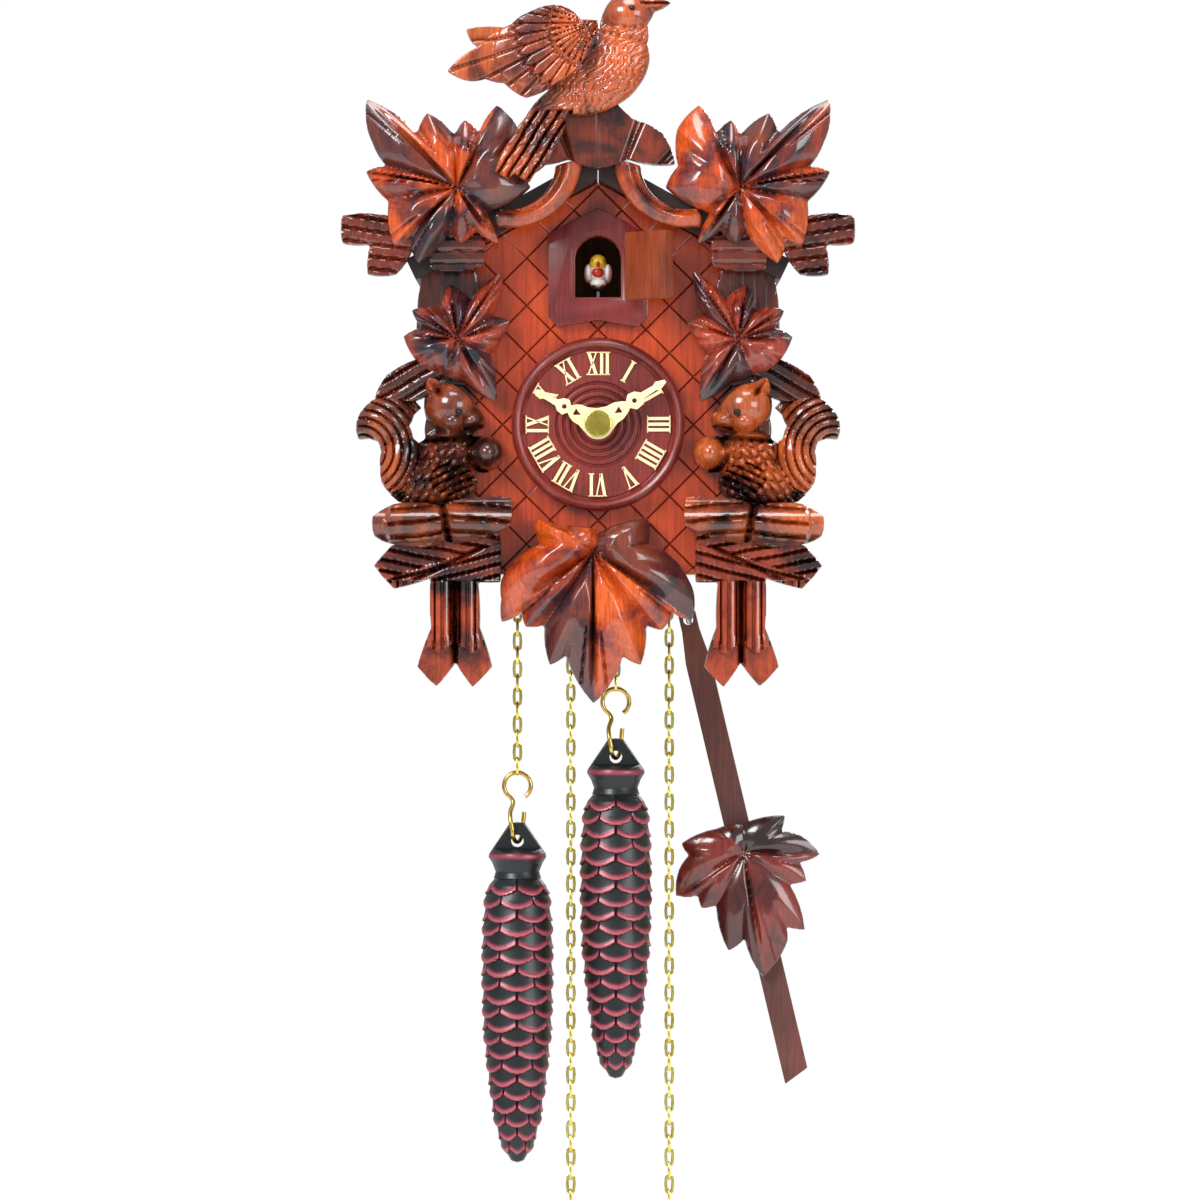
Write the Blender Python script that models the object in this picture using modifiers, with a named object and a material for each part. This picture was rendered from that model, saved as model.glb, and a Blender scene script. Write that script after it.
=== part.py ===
"""Carved one-day cuckoo clock with two chain-driven weights and a leaf pendulum.

The frame: +Z up, the clock faces -Y, the wall is the plane Y = 0, and the origin is on the
wall hanger's rear face at the middle of the case. Sizes below are in millimetres and MM turns
them into metres.
"""
import math

import bmesh
import bpy
from mathutils import Matrix, Vector

MM = 0.001
GAP = 0.3                      # clearance between pieces that touch on the real clock

# ---- driving dimensions -------------------------------------------------------------------
CASE_HALF_WIDTH = 60.0
CASE_FLOOR = -129.0            # underside of the bottom board
WALL = 5.0                     # side, bottom and gable boards
FRONT_Y = -90.0                # front face of the case front
FRONT_THICKNESS = 8.0
ROOF_RIDGE = 13.0              # underside of the roof at the ridge
ROOF_SLOPE = 0.554
ROOF_THICKNESS = 9.15          # measured straight up
ROOF_FRONT_Y = -104.0
EAVE_X = 65.5
CARVING_BACK_Y = FRONT_Y - GAP
CROWN_BACK_Y = ROOF_FRONT_Y - GAP

DIAL_CENTRE = (0.0, -75.0)
DIAL_RADIUS = 31.3
PLATE_FRONT_Y = (-76.0, -74.5)
PLATE_BACK_Y = (-52.0, -50.5)

GREAT_ARBOR = (16.3, -99.7)    # time side, under the dial and to the right
STRIKE_ARBOR = (-19.8, -99.7)
ESCAPE_ARBOR = (12.0, -60.0)
VERGE_PIVOT = (8.4, -40.0)
HANDS_TEETH = 30               # the two equal wheels that turn the hands
GREAT_TEETH, THIRD_TEETH, PINION_LEAVES, TRAIN_MODULE = 44, 40, 6, 0.9
CANNON_TEETH, MINUTE_TEETH, MINUTE_PINION, HOUR_TEETH = 12, 36, 10, 40
MOTION_DISTANCE = 14.4

CHAIN_Y = -63.0
CHAIN_RADIUS = 9.8             # chain's middle line round the sprocket
CHAIN_WIDTH = 3.6
HANK_TOP = -392.0
HANK_HALF_WIDTH, HANK_HEIGHT, HANK_DEPTH = 14.8, 82.0, 15.6

WEIGHT_LENGTH, WEIGHT_RADIUS = 125.0, 13.5
STRIKE_WEIGHT_TOP, TIME_WEIGHT_TOP = -219.9, -189.1

PENDULUM_Y = -36.0
HOOK_POINT = (33.5, -145.8)    # where the rod hangs on its leader
ROD_END = (74.1, -317.1)
DOOR_AXIS = (11.0, -96.9)
DOOR_ANGLE = 135.0             # how far the door stands open at rest

COLOURS = {
    "lacquered_lime": (0.40, 0.07, 0.03), "dark_lime": (0.10, 0.03, 0.03), "roof_black": (0.03, 0.02, 0.02),
    "dial_wood": (0.22, 0.04, 0.04), "pine": (0.62, 0.42, 0.24), "brass": (0.72, 0.55, 0.22),
    "steel": (0.45, 0.45, 0.46), "bone_plastic": (0.86, 0.80, 0.62), "cast_iron": (0.09, 0.04, 0.05),
    "chain_brass": (0.70, 0.62, 0.25), "bird_plastic": (0.85, 0.85, 0.82), "rod_wood": (0.16, 0.07, 0.06),
}
METALS = {"brass", "steel", "chain_brass"}


# ---- scene --------------------------------------------------------------------------------
def clear_scene():
    for thing in list(bpy.data.objects):
        bpy.data.objects.remove(thing)


def new_collection(name):
    group = bpy.data.collections.new(name)
    bpy.context.scene.collection.children.link(group)
    return group


clear_scene()
PARTS = new_collection("cuckoo_clock")
CUTTERS = new_collection("cutters")


def material(name):
    found = bpy.data.materials.get(name)
    if found:
        return found
    made = bpy.data.materials.new(name)
    made.use_nodes = True
    shader = made.node_tree.nodes["Principled BSDF"]
    shader.inputs["Base Color"].default_value = (*COLOURS[name], 1.0)
    shader.inputs["Roughness"].default_value = 0.35
    shader.inputs["Metallic"].default_value = 1.0 if name in METALS else 0.0
    return made


def add_object(name, data, finish):
    piece = bpy.data.objects.new(name, data)
    data.materials.append(material(finish))
    PARTS.objects.link(piece)
    return piece


# ---- outlines -----------------------------------------------------------------------------
def mirrored(points):
    """The same outline on the other side of the clock."""
    return [(-x, z) for x, z in reversed(points)]


def arc(centre, radius, start, end, steps):
    """Points on a circle from one angle to the other, in degrees."""
    turns = [math.radians(start + (end - start) * i / steps) for i in range(steps + 1)]
    return [(centre[0] + radius * math.cos(t), centre[1] + radius * math.sin(t)) for t in turns]


def circle(centre, radius, steps=16):
    return arc(centre, radius, 0, 360 * (steps - 1) / steps, steps - 1)


def gear_outline(teeth, pitch_radius, module):
    """A spur gear with straight-sided teeth, one of them on the +X line."""
    points = []
    step = 2 * math.pi / teeth
    for tooth in range(teeth):
        for share, reach in ((-0.27, -0.9), (-0.13, 0.7), (0.13, 0.7), (0.27, -0.9)):
            turn = (tooth + share) * step
            radius = pitch_radius + reach * module
            points.append((radius * math.cos(turn), radius * math.sin(turn)))
    return points


def meshing_point(a, reach_a, b, reach_b):
    """Where two circles cross, on the right of the line from a to b."""
    along = Vector(b) - Vector(a)
    span = along.length
    share = (reach_a ** 2 - reach_b ** 2 + span ** 2) / (2 * span)
    aside = math.sqrt(reach_a ** 2 - share ** 2)
    unit = along / span
    spot = Vector(a) + unit * share + Vector((unit.y, -unit.x)) * aside
    return spot.x, spot.y


# ---- solids -------------------------------------------------------------------------------
def flat_curve(name, outlines, depth):
    """A filled outline with holes: the first outline is the edge, the others are its holes."""
    data = bpy.data.curves.new(name, "CURVE")
    data.dimensions = "2D"
    data.fill_mode = "BOTH"
    data.extrude = depth * MM / 2
    for points in outlines:
        spline = data.splines.new("POLY")
        spline.points.add(len(points) - 1)
        for point, (x, z) in zip(spline.points, points):
            point.co = (x * MM, z * MM, 0.0, 1.0)
        spline.use_cyclic_u = True
    return data


def plate(name, outline, back_y, front_y, finish, holes=(), centre=(0.0, 0.0), turn=0.0):
    """A board in the XZ plane between two depths, its origin at centre."""
    moved = [[(x - centre[0], z - centre[1]) for x, z in points] for points in (outline, *holes)]
    piece = add_object(name, flat_curve(name, moved, abs(back_y - front_y)), finish)
    piece.location = (centre[0] * MM, (back_y + front_y) / 2 * MM, centre[1] * MM)
    piece.rotation_euler = (math.radians(90), math.radians(turn), 0)
    return piece


def shelf(name, outline, low_z, high_z, finish, holes=()):
    """A board in the XY plane between two heights."""
    piece = add_object(name, flat_curve(name, [outline, *holes], high_z - low_z), finish)
    piece.location = (0, 0, (low_z + high_z) / 2 * MM)
    return piece


def rectangle(low, high):
    return [(low[0], low[1]), (high[0], low[1]), (high[0], high[1]), (low[0], high[1])]


def wire(name, points, radius, finish, centre=(0.0, 0.0, 0.0), resolution=2):
    """A round wire or rod along a list of points."""
    data = bpy.data.curves.new(name, "CURVE")
    data.dimensions = "3D"
    data.bevel_depth = radius * MM
    data.bevel_resolution = resolution
    data.use_fill_caps = True
    spline = data.splines.new("POLY")
    spline.points.add(len(points) - 1)
    for point, place in zip(spline.points, points):
        offset = (Vector(place) - Vector(centre)) * MM
        point.co = (*offset, 1.0)
    piece = add_object(name, data, finish)
    piece.location = Vector(centre) * MM
    return piece


def rod(name, centre, radius, back_y, front_y, finish, sides=12):
    """A round bar along Y."""
    data = bpy.data.meshes.new(name)
    shape = bmesh.new()
    bmesh.ops.create_cone(shape, cap_ends=True, segments=sides, radius1=radius * MM,
                          radius2=radius * MM, depth=abs(back_y - front_y) * MM,
                          matrix=Matrix.Rotation(math.radians(90), 4, "X"))
    shape.to_mesh(data)
    shape.free()
    piece = add_object(name, data, finish)
    piece.location = (centre[0] * MM, (back_y + front_y) / 2 * MM, centre[1] * MM)
    return piece


def turned(name, profile, centre, finish, steps=16):
    """A turned piece about the upright line through centre; profile runs from top to bottom."""
    data = bpy.data.meshes.new(name)
    verts = [(radius * MM, 0, z * MM) for radius, z in profile]
    data.from_pydata(verts, [(i, i + 1) for i in range(len(verts) - 1)], [])
    piece = add_object(name, data, finish)
    piece.location = Vector(centre) * MM
    screw = piece.modifiers.new("Turn", "SCREW")
    screw.steps = screw.render_steps = steps
    screw.use_merge_vertices = True
    screw.merge_threshold = 0.00001
    screw.use_smooth_shade = True
    return piece


def as_mesh(piece):
    """The piece as a plain welded mesh object with the same name and place."""
    bpy.context.view_layer.update()
    evaluated = piece.evaluated_get(bpy.context.evaluated_depsgraph_get())
    data = bpy.data.meshes.new_from_object(evaluated)
    shape = bmesh.new()
    shape.from_mesh(data)
    bmesh.ops.remove_doubles(shape, verts=shape.verts, dist=0.000001)
    shape.to_mesh(data)
    shape.free()
    name, place = piece.name, piece.matrix_world.copy()
    bpy.data.objects.remove(piece)
    solid = bpy.data.objects.new(name, data)
    solid.matrix_world = place
    PARTS.objects.link(solid)
    return solid


def combine(base, others, operation="UNION"):
    """Joins or cuts base with the others, which become hidden guides."""
    solid = as_mesh(base)
    for other in others:
        guide = as_mesh(other)
        guide.name = solid.name + "_guide"
        PARTS.objects.unlink(guide)
        CUTTERS.objects.link(guide)
        guide.hide_render = True
        guide.display_type = "WIRE"
        boolean = solid.modifiers.new(operation.title(), "BOOLEAN")
        boolean.operation = operation
        boolean.object = guide
    return solid


def wheel(name, centre, toothed, arbor_radius, arbor_y, finish="brass", extras=()):
    """A toothed wheel with its pinion on one arbor.

    toothed lists (teeth, pitch radius, module, back y, front y, turn in degrees).
    """
    arbor = rod(name, centre, arbor_radius, *arbor_y, finish)
    discs = []
    for teeth, radius, module, back_y, front_y, turn in toothed:
        outline = [(x + centre[0], z + centre[1]) for x, z in gear_outline(teeth, radius, module)]
        discs.append(plate(name + "_teeth", outline, back_y, front_y, finish, centre=centre, turn=turn))
    return combine(arbor, [*discs, *extras])


def pivot(name, place, pieces):
    """An empty on a joint's axis that carries the pieces that turn or slide there."""
    empty = bpy.data.objects.new(name, None)
    empty.location = Vector(place) * MM
    PARTS.objects.link(empty)
    bpy.context.view_layer.update()
    for piece in pieces:
        piece.parent = empty
        piece.matrix_parent_inverse = empty.matrix_world.inverted()
    return empty


# ---- case ---------------------------------------------------------------------------------
def roof_under(x):
    return ROOF_RIDGE - ROOF_SLOPE * abs(x)


ARCH = [(-8.3, -29.0), (8.3, -29.0), *arc((0.0, -15.0), 8.3, 0, 180, 8)]


def build_case():
    side = CASE_HALF_WIDTH
    inner = side - WALL
    eave = roof_under(side) - 0.4
    gable = [(-side, CASE_FLOOR), (side, CASE_FLOOR), (side, eave), (0, ROOF_RIDGE - 0.4), (-side, eave)]
    shaft_hole = circle(DIAL_CENTRE, 4.0)
    plate("case_front", gable, FRONT_Y + FRONT_THICKNESS, FRONT_Y, "lacquered_lime", [ARCH, shaft_hole])
    back_of_front = FRONT_Y + FRONT_THICKNESS + GAP
    wall = [(inner, CASE_FLOOR), (side, CASE_FLOOR), (side, eave), (inner, roof_under(inner) - 0.4)]
    plate("case_side_right", wall, 0.0, back_of_front, "dark_lime")
    plate("case_side_left", mirrored(wall), 0.0, back_of_front, "dark_lime")
    floor = rectangle((-inner + GAP, back_of_front), (inner - GAP, -1.5))
    chain_slots = [rectangle((-34.0, -67.0), (-5.6, -59.0)), rectangle((2.0, -67.0), (30.6, -59.0))]
    pendulum_slot = rectangle((-20.0, -40.0), (36.0, -32.0))
    shelf("case_bottom", floor, CASE_FLOOR, CASE_FLOOR + WALL, "pine", [*chain_slots, pendulum_slot])
    width = inner - GAP
    rail = [(-width, -30.0), (width, -30.0), (width, roof_under(width) - 0.4), (0, ROOF_RIDGE - 0.4),
            (-width, roof_under(width) - 0.4)]
    plate("back_gable", rail, -1.5, -6.5, "pine")
    plate("wall_hanger", rectangle((-8.0, -8.0), (8.0, 6.5)), 0.0, -1.2, "brass", [circle((0.0, 3.2), 1.8, 10)])
    plate("back_panel", rectangle((-width, CASE_FLOOR + WALL + GAP), (width, -30.0 - GAP)), -1.5, -5.0, "pine",
          [circle((0.0, -100.0), 9.0)])
    slope = [(0.15, ROOF_RIDGE), (EAVE_X, roof_under(EAVE_X)), (EAVE_X + 3.5, roof_under(EAVE_X) + 7.3),
             (0.15, ROOF_RIDGE + ROOF_THICKNESS)]
    plate("roof_right", slope, -0.5, ROOF_FRONT_Y, "roof_black")
    plate("roof_left", mirrored(slope), -0.5, ROOF_FRONT_Y, "roof_black")


def build_front_trim():
    surround = [(-14.5, -39.6), (-8.0, -38.6), (0, -37.2), (8.0, -38.6), (14.5, -39.6), (18.0, -36.0), (18.0, -6.3),
                (9.0, -1.2), (0, 3.2), (-9.0, -1.2), (-18.0, -6.3), (-18.0, -36.0)]
    plate("door_surround", surround, CARVING_BACK_Y, CARVING_BACK_Y - 4.0, "dial_wood", [ARCH])
    rim = [(4.0, -90.3), (DIAL_RADIUS, -90.3), (DIAL_RADIUS, -96.0), (DIAL_RADIUS - 1.8, -98.5),
           (DIAL_RADIUS - 4.0, -97.0), (14.0, -97.0), (13.2, -95.6), (4.0, -95.6)]
    turn_dial(rim)
    wood = plate("cuckoo_door", rectangle((-9.3, -30.3), (10.7, -5.9)), DOOR_AXIS[1] + 2.2, DOOR_AXIS[1] - 2.2,
                 "dial_wood")
    swing = pivot("door_axis", (DOOR_AXIS[0], DOOR_AXIS[1], -18.0), [wood])
    swing.rotation_euler = (0, 0, math.radians(DOOR_ANGLE))


def turn_dial(rim):
    """The dial is turned: its section goes once round the line of the hands."""
    data = bpy.data.meshes.new("dial")
    verts = [(radius * MM, y * MM, 0) for radius, y in rim]
    data.from_pydata(verts, [(i, (i + 1) % len(verts)) for i in range(len(verts))], [])
    piece = add_object("dial", data, "dial_wood")
    piece.location = (DIAL_CENTRE[0] * MM, 0, DIAL_CENTRE[1] * MM)
    screw = piece.modifiers.new("Turn", "SCREW")
    screw.axis = "Y"
    screw.steps = screw.render_steps = 40
    screw.use_merge_vertices = True
    screw.merge_threshold = 0.00001
    screw.use_normal_flip = False


# ---- carvings -----------------------------------------------------------------------------
TOP_LEAF = [(83.2, 15.0), (75.7, 17.0), (80.7, 25.0), (83.2, 35.0), (82.7, 41.0), (64.7, 29.0), (61.2, 36.0),
            (51.2, 28.5), (47.7, 33.5), (42.7, 29.0), (36.2, 39.0), (28.2, 30.0), (28.7, 17.0), (24.2, 9.5),
            (39.7, 0.0), (35.7, -11.0), (43.7, -6.5), (49.2, -11.0), (53.0, -8.0), (64.2, -18.0), (69.7, -18.5),
            (72.2, -22.0), (82.7, -22.0), (81.2, -10.8), (91.7, -10.8), (91.7, -0.5), (75.2, 4.8)]
SIDE_LEAF = [(67.0, -33.0), (63.3, -40.2), (69.6, -43.0), (63.8, -53.0), (76.2, -57.2), (78.5, -63.5), (69.0, -62.5),
             (62.0, -56.0), (54.5, -54.5), (47.0, -57.5), (37.5, -68.5), (36.0, -58.8), (38.6, -51.0), (31.0, -39.0),
             (36.0, -36.0), (33.0, -21.5), (60.0, -25.0), (60.0, -34.0)]
SQUIRREL = [(42.0, -73.5), (42.0, -66.0), (47.5, -60.0), (54.5, -57.0), (61.0, -62.0), (62.0, -70.0), (61.5, -78.5),
            (63.8, -83.5), (75.2, -100.5), (74.0, -103.3), (56.5, -103.3), (43.0, -97.5), (44.5, -88.8), (39.0, -88.0),
            (35.0, -83.0), (37.0, -76.5)]
TAIL = [(64.6, -68.0), (69.0, -64.8), (70.0, -67.2), (79.8, -66.2), (87.0, -73.5), (86.8, -80.2), (79.2, -81.3),
        (77.4, -86.0), (78.0, -96.0), (75.6, -99.6), (72.0, -98.8), (62.5, -84.5), (68.0, -77.5)]
UPPER_LOG = [(31.5, -101.3), (57.5, -104.2), (73.4, -103.8), (81.2, -108.6), (80.6, -115.4), (74.6, -118.2),
             (50.9, -118.2), (31.5, -111.8)]
LOWER_LOG = [(35.2, -112.8), (50.9, -118.6), (74.1, -118.6), (80.8, -126.0), (73.6, -134.4), (60.4, -130.6),
             (60.2, -148.4), (65.2, -162.4), (58.3, -169.6), (51.4, -161.0), (45.3, -169.8), (38.2, -162.4),
             (42.6, -148.4), (43.2, -132.0), (35.2, -132.0)]
BOTTOM_LEAF = [(-1.7, -175.7), (4.9, -167.9), (8.8, -158.5), (15.4, -161.9), (17.3, -147.5), (23.1, -149.2),
               (27.0, -143.1), (33.8, -145.8), (34.9, -138.2), (33.0, -131.6), (25.8, -122.2), (18.7, -117.8),
               (18.1, -109.0), (1.0, -113.5), (-14.0, -111.7), (-22.4, -109.2), (-21.5, -118.5), (-28.7, -122.7),
               (-34.9, -131.0), (-34.9, -138.2), (-34.8, -146.4), (-27.6, -143.1), (-26.0, -148.1),
               (-19.3, -147.5), (-17.4, -161.9), (-11.6, -158.3)]
BIRD = [(26.1, 74.8), (19.5, 75.6), (13.0, 78.0), (6.0, 76.5), (1.5, 68.0), (0.5, 62.0), (-4.0, 58.5), (-12.0, 52.0),
        (-17.0, 42.0), (-24.0, 35.2), (-24.0, 14.0), (-20.0, 16.1), (-14.5, 23.0), (-7.0, 35.0), (1.5, 35.5),
        (9.5, 40.0), (16.5, 47.5), (18.8, 55.0), (18.0, 66.5), (20.0, 70.5)]
BIRD_TAIL = [(-18.0, 41.0), (-26.0, 33.0), (-37.0, 14.5), (-24.5, 10.5), (-14.5, 23.0), (-14.0, 34.0)]
NEAR_WING = [(-2.0, 60.0), (-8.5, 70.2), (-15.0, 72.8), (-31.0, 65.6), (-43.0, 57.5), (-53.7, 49.2), (-46.0, 45.5),
             (-33.3, 45.0), (-25.5, 39.5), (-14.0, 45.5), (-7.5, 50.0)]
FAR_WING = [(5.0, 69.0), (-20.0, 69.5), (-31.6, 66.3), (-47.4, 66.0), (-43.5, 58.5), (-30.0, 56.0), (3.0, 58.0)]


def crown_outline():
    """The crest with a vine sweeping down on each side, each vine a tapered arc."""
    outer = arc((31.0, 20.5), 25.0, 184, 276, 7)
    inner = arc((31.5, 17.5), 18.6, 282, 184, 7)
    right = [*outer, (36.8, -5.0), (37.2, -2.4), *inner, (10.4, 19.5), (22.5, 16.5), (27.6, 17.6), (23.5, 28.3)]
    return [(0.0, 15.5), *right, (0.0, 42.0), *mirrored(right)]


def both_sides(name, finish, *layers):
    """The right-hand carving and its mirror image on the left.

    Each layer is (outline, back y, front y), and the layers are one piece of wood.
    """
    for side, shaped in (("_right", list), ("_left", mirrored)):
        boards = [plate(name + side, shaped(outline), back_y, front_y, finish) for outline, back_y, front_y in layers]
        if len(boards) > 1:
            combine(boards[0], boards[1:])


def build_carvings():
    plate("crown_crest", crown_outline(), CROWN_BACK_Y, -113.5, "lacquered_lime")
    both_sides("top_leaf", "lacquered_lime", (TOP_LEAF, CROWN_BACK_Y, -119.5))
    both_sides("side_leaf", "lacquered_lime", (SIDE_LEAF, CARVING_BACK_Y, -105.0))
    both_sides("squirrel", "lacquered_lime", (SQUIRREL, CARVING_BACK_Y, -109.5), (TAIL, CARVING_BACK_Y - 1.0, -104.5))
    both_sides("logs", "dark_lime", (LOWER_LOG, CARVING_BACK_Y, -103.5), (UPPER_LOG, CARVING_BACK_Y - 1.0, -111.0))
    plate("bottom_leaf", BOTTOM_LEAF, CARVING_BACK_Y, -109.0, "lacquered_lime")
    bird = plate("top_bird", BIRD, -113.5 - GAP, -126.5, "lacquered_lime")
    combine(bird, [plate("top_bird_tail", BIRD_TAIL, -119.5 - GAP, -127.0, "lacquered_lime"),
                   plate("top_bird_far_wing", FAR_WING, -108.0, -115.0, "lacquered_lime")])
    plate("top_bird_near_wing", NEAR_WING, -127.0 - GAP, -132.5, "lacquered_lime")


# ---- movement -----------------------------------------------------------------------------
def build_plates():
    outline = rectangle((-42.0, -118.0), (42.0, -36.0))
    front = plate("front_plate", outline, *PLATE_FRONT_Y, "brass", [circle(DIAL_CENTRE, 1.8, 12)])
    tabs = [shelf("front_plate_tab", rectangle((-49.0, -76.0), (-41.0, -62.0)), z, z + 1.5, "brass",
                  [circle((-46.0, -66.0), 1.6, 10)]) for z in (-80.0, -44.0)]
    combine(front, tabs)
    back = plate("back_plate", outline, *PLATE_BACK_Y, "brass", [circle(VERGE_PIVOT, 1.8, 10)])
    pillars = [rod("back_plate_pillar", (x, z), 2.5, -51.5, PLATE_FRONT_Y[1] + GAP, "brass", 8)
               for x in (-38.0, 38.0) for z in (-115.0, -40.0)]
    combine(back, pillars)


def build_time_train():
    """Great wheel, third wheel and escape wheel, and the equal pair that turns the hands."""
    hands_radius = math.dist(DIAL_CENTRE, GREAT_ARBOR) / 2
    hands_module = 2 * hands_radius / HANDS_TEETH
    great_radius, third_radius, pinion_radius = (TRAIN_MODULE * teeth / 2 for teeth in
                                                 (GREAT_TEETH, THIRD_TEETH, PINION_LEAVES))
    third = meshing_point(GREAT_ARBOR, great_radius + pinion_radius, ESCAPE_ARBOR, third_radius + pinion_radius)
    between_plates = (-52.3, -74.2)
    hands_y, great_y, third_y = (-72.4, -73.6), (-56.7, -58.3), (-68.5, -69.9)

    great = wheel("time_great_wheel", GREAT_ARBOR,
                  [(HANDS_TEETH, hands_radius, hands_module, *hands_y, tooth_turn(GREAT_ARBOR, DIAL_CENTRE)),
                   (GREAT_TEETH, great_radius, TRAIN_MODULE, *great_y, tooth_turn(GREAT_ARBOR, third))],
                  1.4, between_plates)
    middle = wheel("third_wheel", third,
                   [(PINION_LEAVES, pinion_radius, TRAIN_MODULE, *great_y, gap_turn(third, GREAT_ARBOR, PINION_LEAVES)),
                    (THIRD_TEETH, third_radius, TRAIN_MODULE, *third_y, tooth_turn(third, ESCAPE_ARBOR))],
                   0.9, between_plates)
    pinion = plate("escape_wheel_pinion",
                   [(x + ESCAPE_ARBOR[0], z + ESCAPE_ARBOR[1])
                    for x, z in gear_outline(PINION_LEAVES, pinion_radius, TRAIN_MODULE)],
                   *third_y, "brass", centre=ESCAPE_ARBOR, turn=gap_turn(ESCAPE_ARBOR, third, PINION_LEAVES))
    escape = combine(rod("escape_wheel", ESCAPE_ARBOR, 0.9, *between_plates, "brass"),
                     [plate("escape_wheel_rim", escape_outline(), -56.9, -58.0, "brass"), pinion])
    centre = wheel("centre_wheel", DIAL_CENTRE,
                   [(HANDS_TEETH, hands_radius, hands_module, *hands_y,
                     gap_turn(DIAL_CENTRE, GREAT_ARBOR, HANDS_TEETH))],
                   1.2, (-52.3, -102.5))
    pivot("great_axis", (GREAT_ARBOR[0], CHAIN_Y, GREAT_ARBOR[1]), [great])
    pivot("third_axis", (third[0], CHAIN_Y, third[1]), [middle])
    pivot("escape_axis", (ESCAPE_ARBOR[0], CHAIN_Y, ESCAPE_ARBOR[1]), [escape])
    pivot("centre_axis", (DIAL_CENTRE[0], CHAIN_Y, DIAL_CENTRE[1]), [centre])


MINUTE_ARBOR = (DIAL_CENTRE[0] - MOTION_DISTANCE * math.sqrt(0.5), DIAL_CENTRE[1] - MOTION_DISTANCE * math.sqrt(0.5))


def heading(here, there):
    return math.degrees(math.atan2(there[1] - here[1], there[0] - here[0]))


def tooth_turn(here, there):
    """The turn that points a tooth from here at there; a turn about +Y runs clockwise from the front."""
    return -heading(here, there)


def gap_turn(here, there, teeth):
    """The turn that points a gap between two teeth from here at there."""
    return tooth_turn(here, there) + 180.0 / teeth


def escape_outline():
    """Hooked teeth that lean one way."""
    teeth, points = 24, []
    for tooth in range(teeth):
        for share, radius in ((0.0, 9.6), (0.16, 12.0), (0.3, 9.8)):
            turn = 2 * math.pi * (tooth + share) / teeth
            points.append((ESCAPE_ARBOR[0] + radius * math.cos(turn), ESCAPE_ARBOR[1] + radius * math.sin(turn)))
    return points


def build_motion_work():
    """The wheels behind the dial, and the hands; the cannon pinion slips on the centre arbor to set them."""
    cannon_radius = CANNON_TEETH * 0.3
    cannon = tube("cannon_pinion", gear_outline(CANNON_TEETH, cannon_radius, 0.6), 1.5, -77.5, -78.7,
                  tooth_turn(DIAL_CENTRE, MINUTE_ARBOR), 2.3, -103.2)
    minute_radius, module = MINUTE_TEETH * 0.3, MOTION_DISTANCE * 2 / (MINUTE_PINION + HOUR_TEETH)
    minute_wheel = wheel("minute_wheel", MINUTE_ARBOR,
                         [(MINUTE_TEETH, minute_radius, 0.6, -77.5, -78.7,
                           gap_turn(MINUTE_ARBOR, DIAL_CENTRE, MINUTE_TEETH)),
                          (MINUTE_PINION, module * MINUTE_PINION / 2, module, -79.5, -80.7,
                           tooth_turn(MINUTE_ARBOR, DIAL_CENTRE))], 0.9, (-76.4, -81.4))
    hour_wheel = tube("hour_wheel", gear_outline(HOUR_TEETH, module * HOUR_TEETH / 2, module), 2.6, -79.5, -80.7,
                      gap_turn(DIAL_CENTRE, MINUTE_ARBOR, HOUR_TEETH), 3.4, -101.5)

    hour_hand = hand("hour_hand", HOUR_HAND, 25.3, 3.7, -100.1, -101.1, 62.7)
    minute_hand = hand("minute_hand", MINUTE_HAND, 28.7, 2.6, -101.9, -102.9, -57.6)
    nut = rod("hand_nut", DIAL_CENTRE, 4.8, -103.5, -105.3, "brass", 20)
    axis = (DIAL_CENTRE[0], -100.0, DIAL_CENTRE[1])
    pivot("minute_axis", axis, [cannon, minute_hand, nut])
    pivot("hour_axis", axis, [hour_wheel, hour_hand])
    pivot("minute_wheel_axis", (MINUTE_ARBOR[0], -79.0, MINUTE_ARBOR[1]), [minute_wheel])


def tube(name, teeth, bore, back_y, front_y, turn, radius, tip_y):
    """A toothed wheel on a pipe that reaches forward through the dial."""
    outline = [(x + DIAL_CENTRE[0], z + DIAL_CENTRE[1]) for x, z in teeth]
    disc = plate(name, outline, back_y, front_y, "brass", [circle(DIAL_CENTRE, bore, 12)], DIAL_CENTRE, turn)
    middle = (back_y + front_y) / 2
    pipe = plate(name + "_pipe", circle(DIAL_CENTRE, radius), middle, tip_y, "brass",
                 [circle(DIAL_CENTRE, bore - 0.05, 16)])
    return combine(disc, [pipe])


HOUR_HAND = [(6.0, 3.6), (8.5, 3.4), (10.2, 2.6), (11.6, 1.4), (13.0, 3.0), (15.2, 2.6), (16.8, 1.2), (21.5, 0.9),
             (22.8, 1.7), (25.3, 1.0)]
MINUTE_HAND = [(6.0, 3.6), (8.8, 3.4), (11.2, 2.4), (12.8, 1.4), (14.6, 3.2), (17.2, 2.8), (19.0, 1.2), (24.0, 1.0),
               (25.4, 1.7), (28.7, 0.6)]


def hand(name, widths, reach, bore, back_y, front_y, turn):
    """A fretted hand that points up and is then turned; positive turns it to the left."""
    x, z = DIAL_CENTRE
    right = [(x + half, z + along) for along, half in widths]
    left = [(2 * x - px, pz) for px, pz in reversed(right)]
    hub = arc(DIAL_CENTRE, 5.6, 150, 390, 14)
    holes = [circle(DIAL_CENTRE, bore, 12), circle((x, z + reach * 0.54), 0.9, 8),
             [(x - 1.3, z + 9.6), (x + 1.3, z + 9.6), (x, z + 7.0)]]
    return plate(name, [*right, *left, *hub], back_y, front_y, "bone_plastic", holes, DIAL_CENTRE, -turn)


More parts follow.
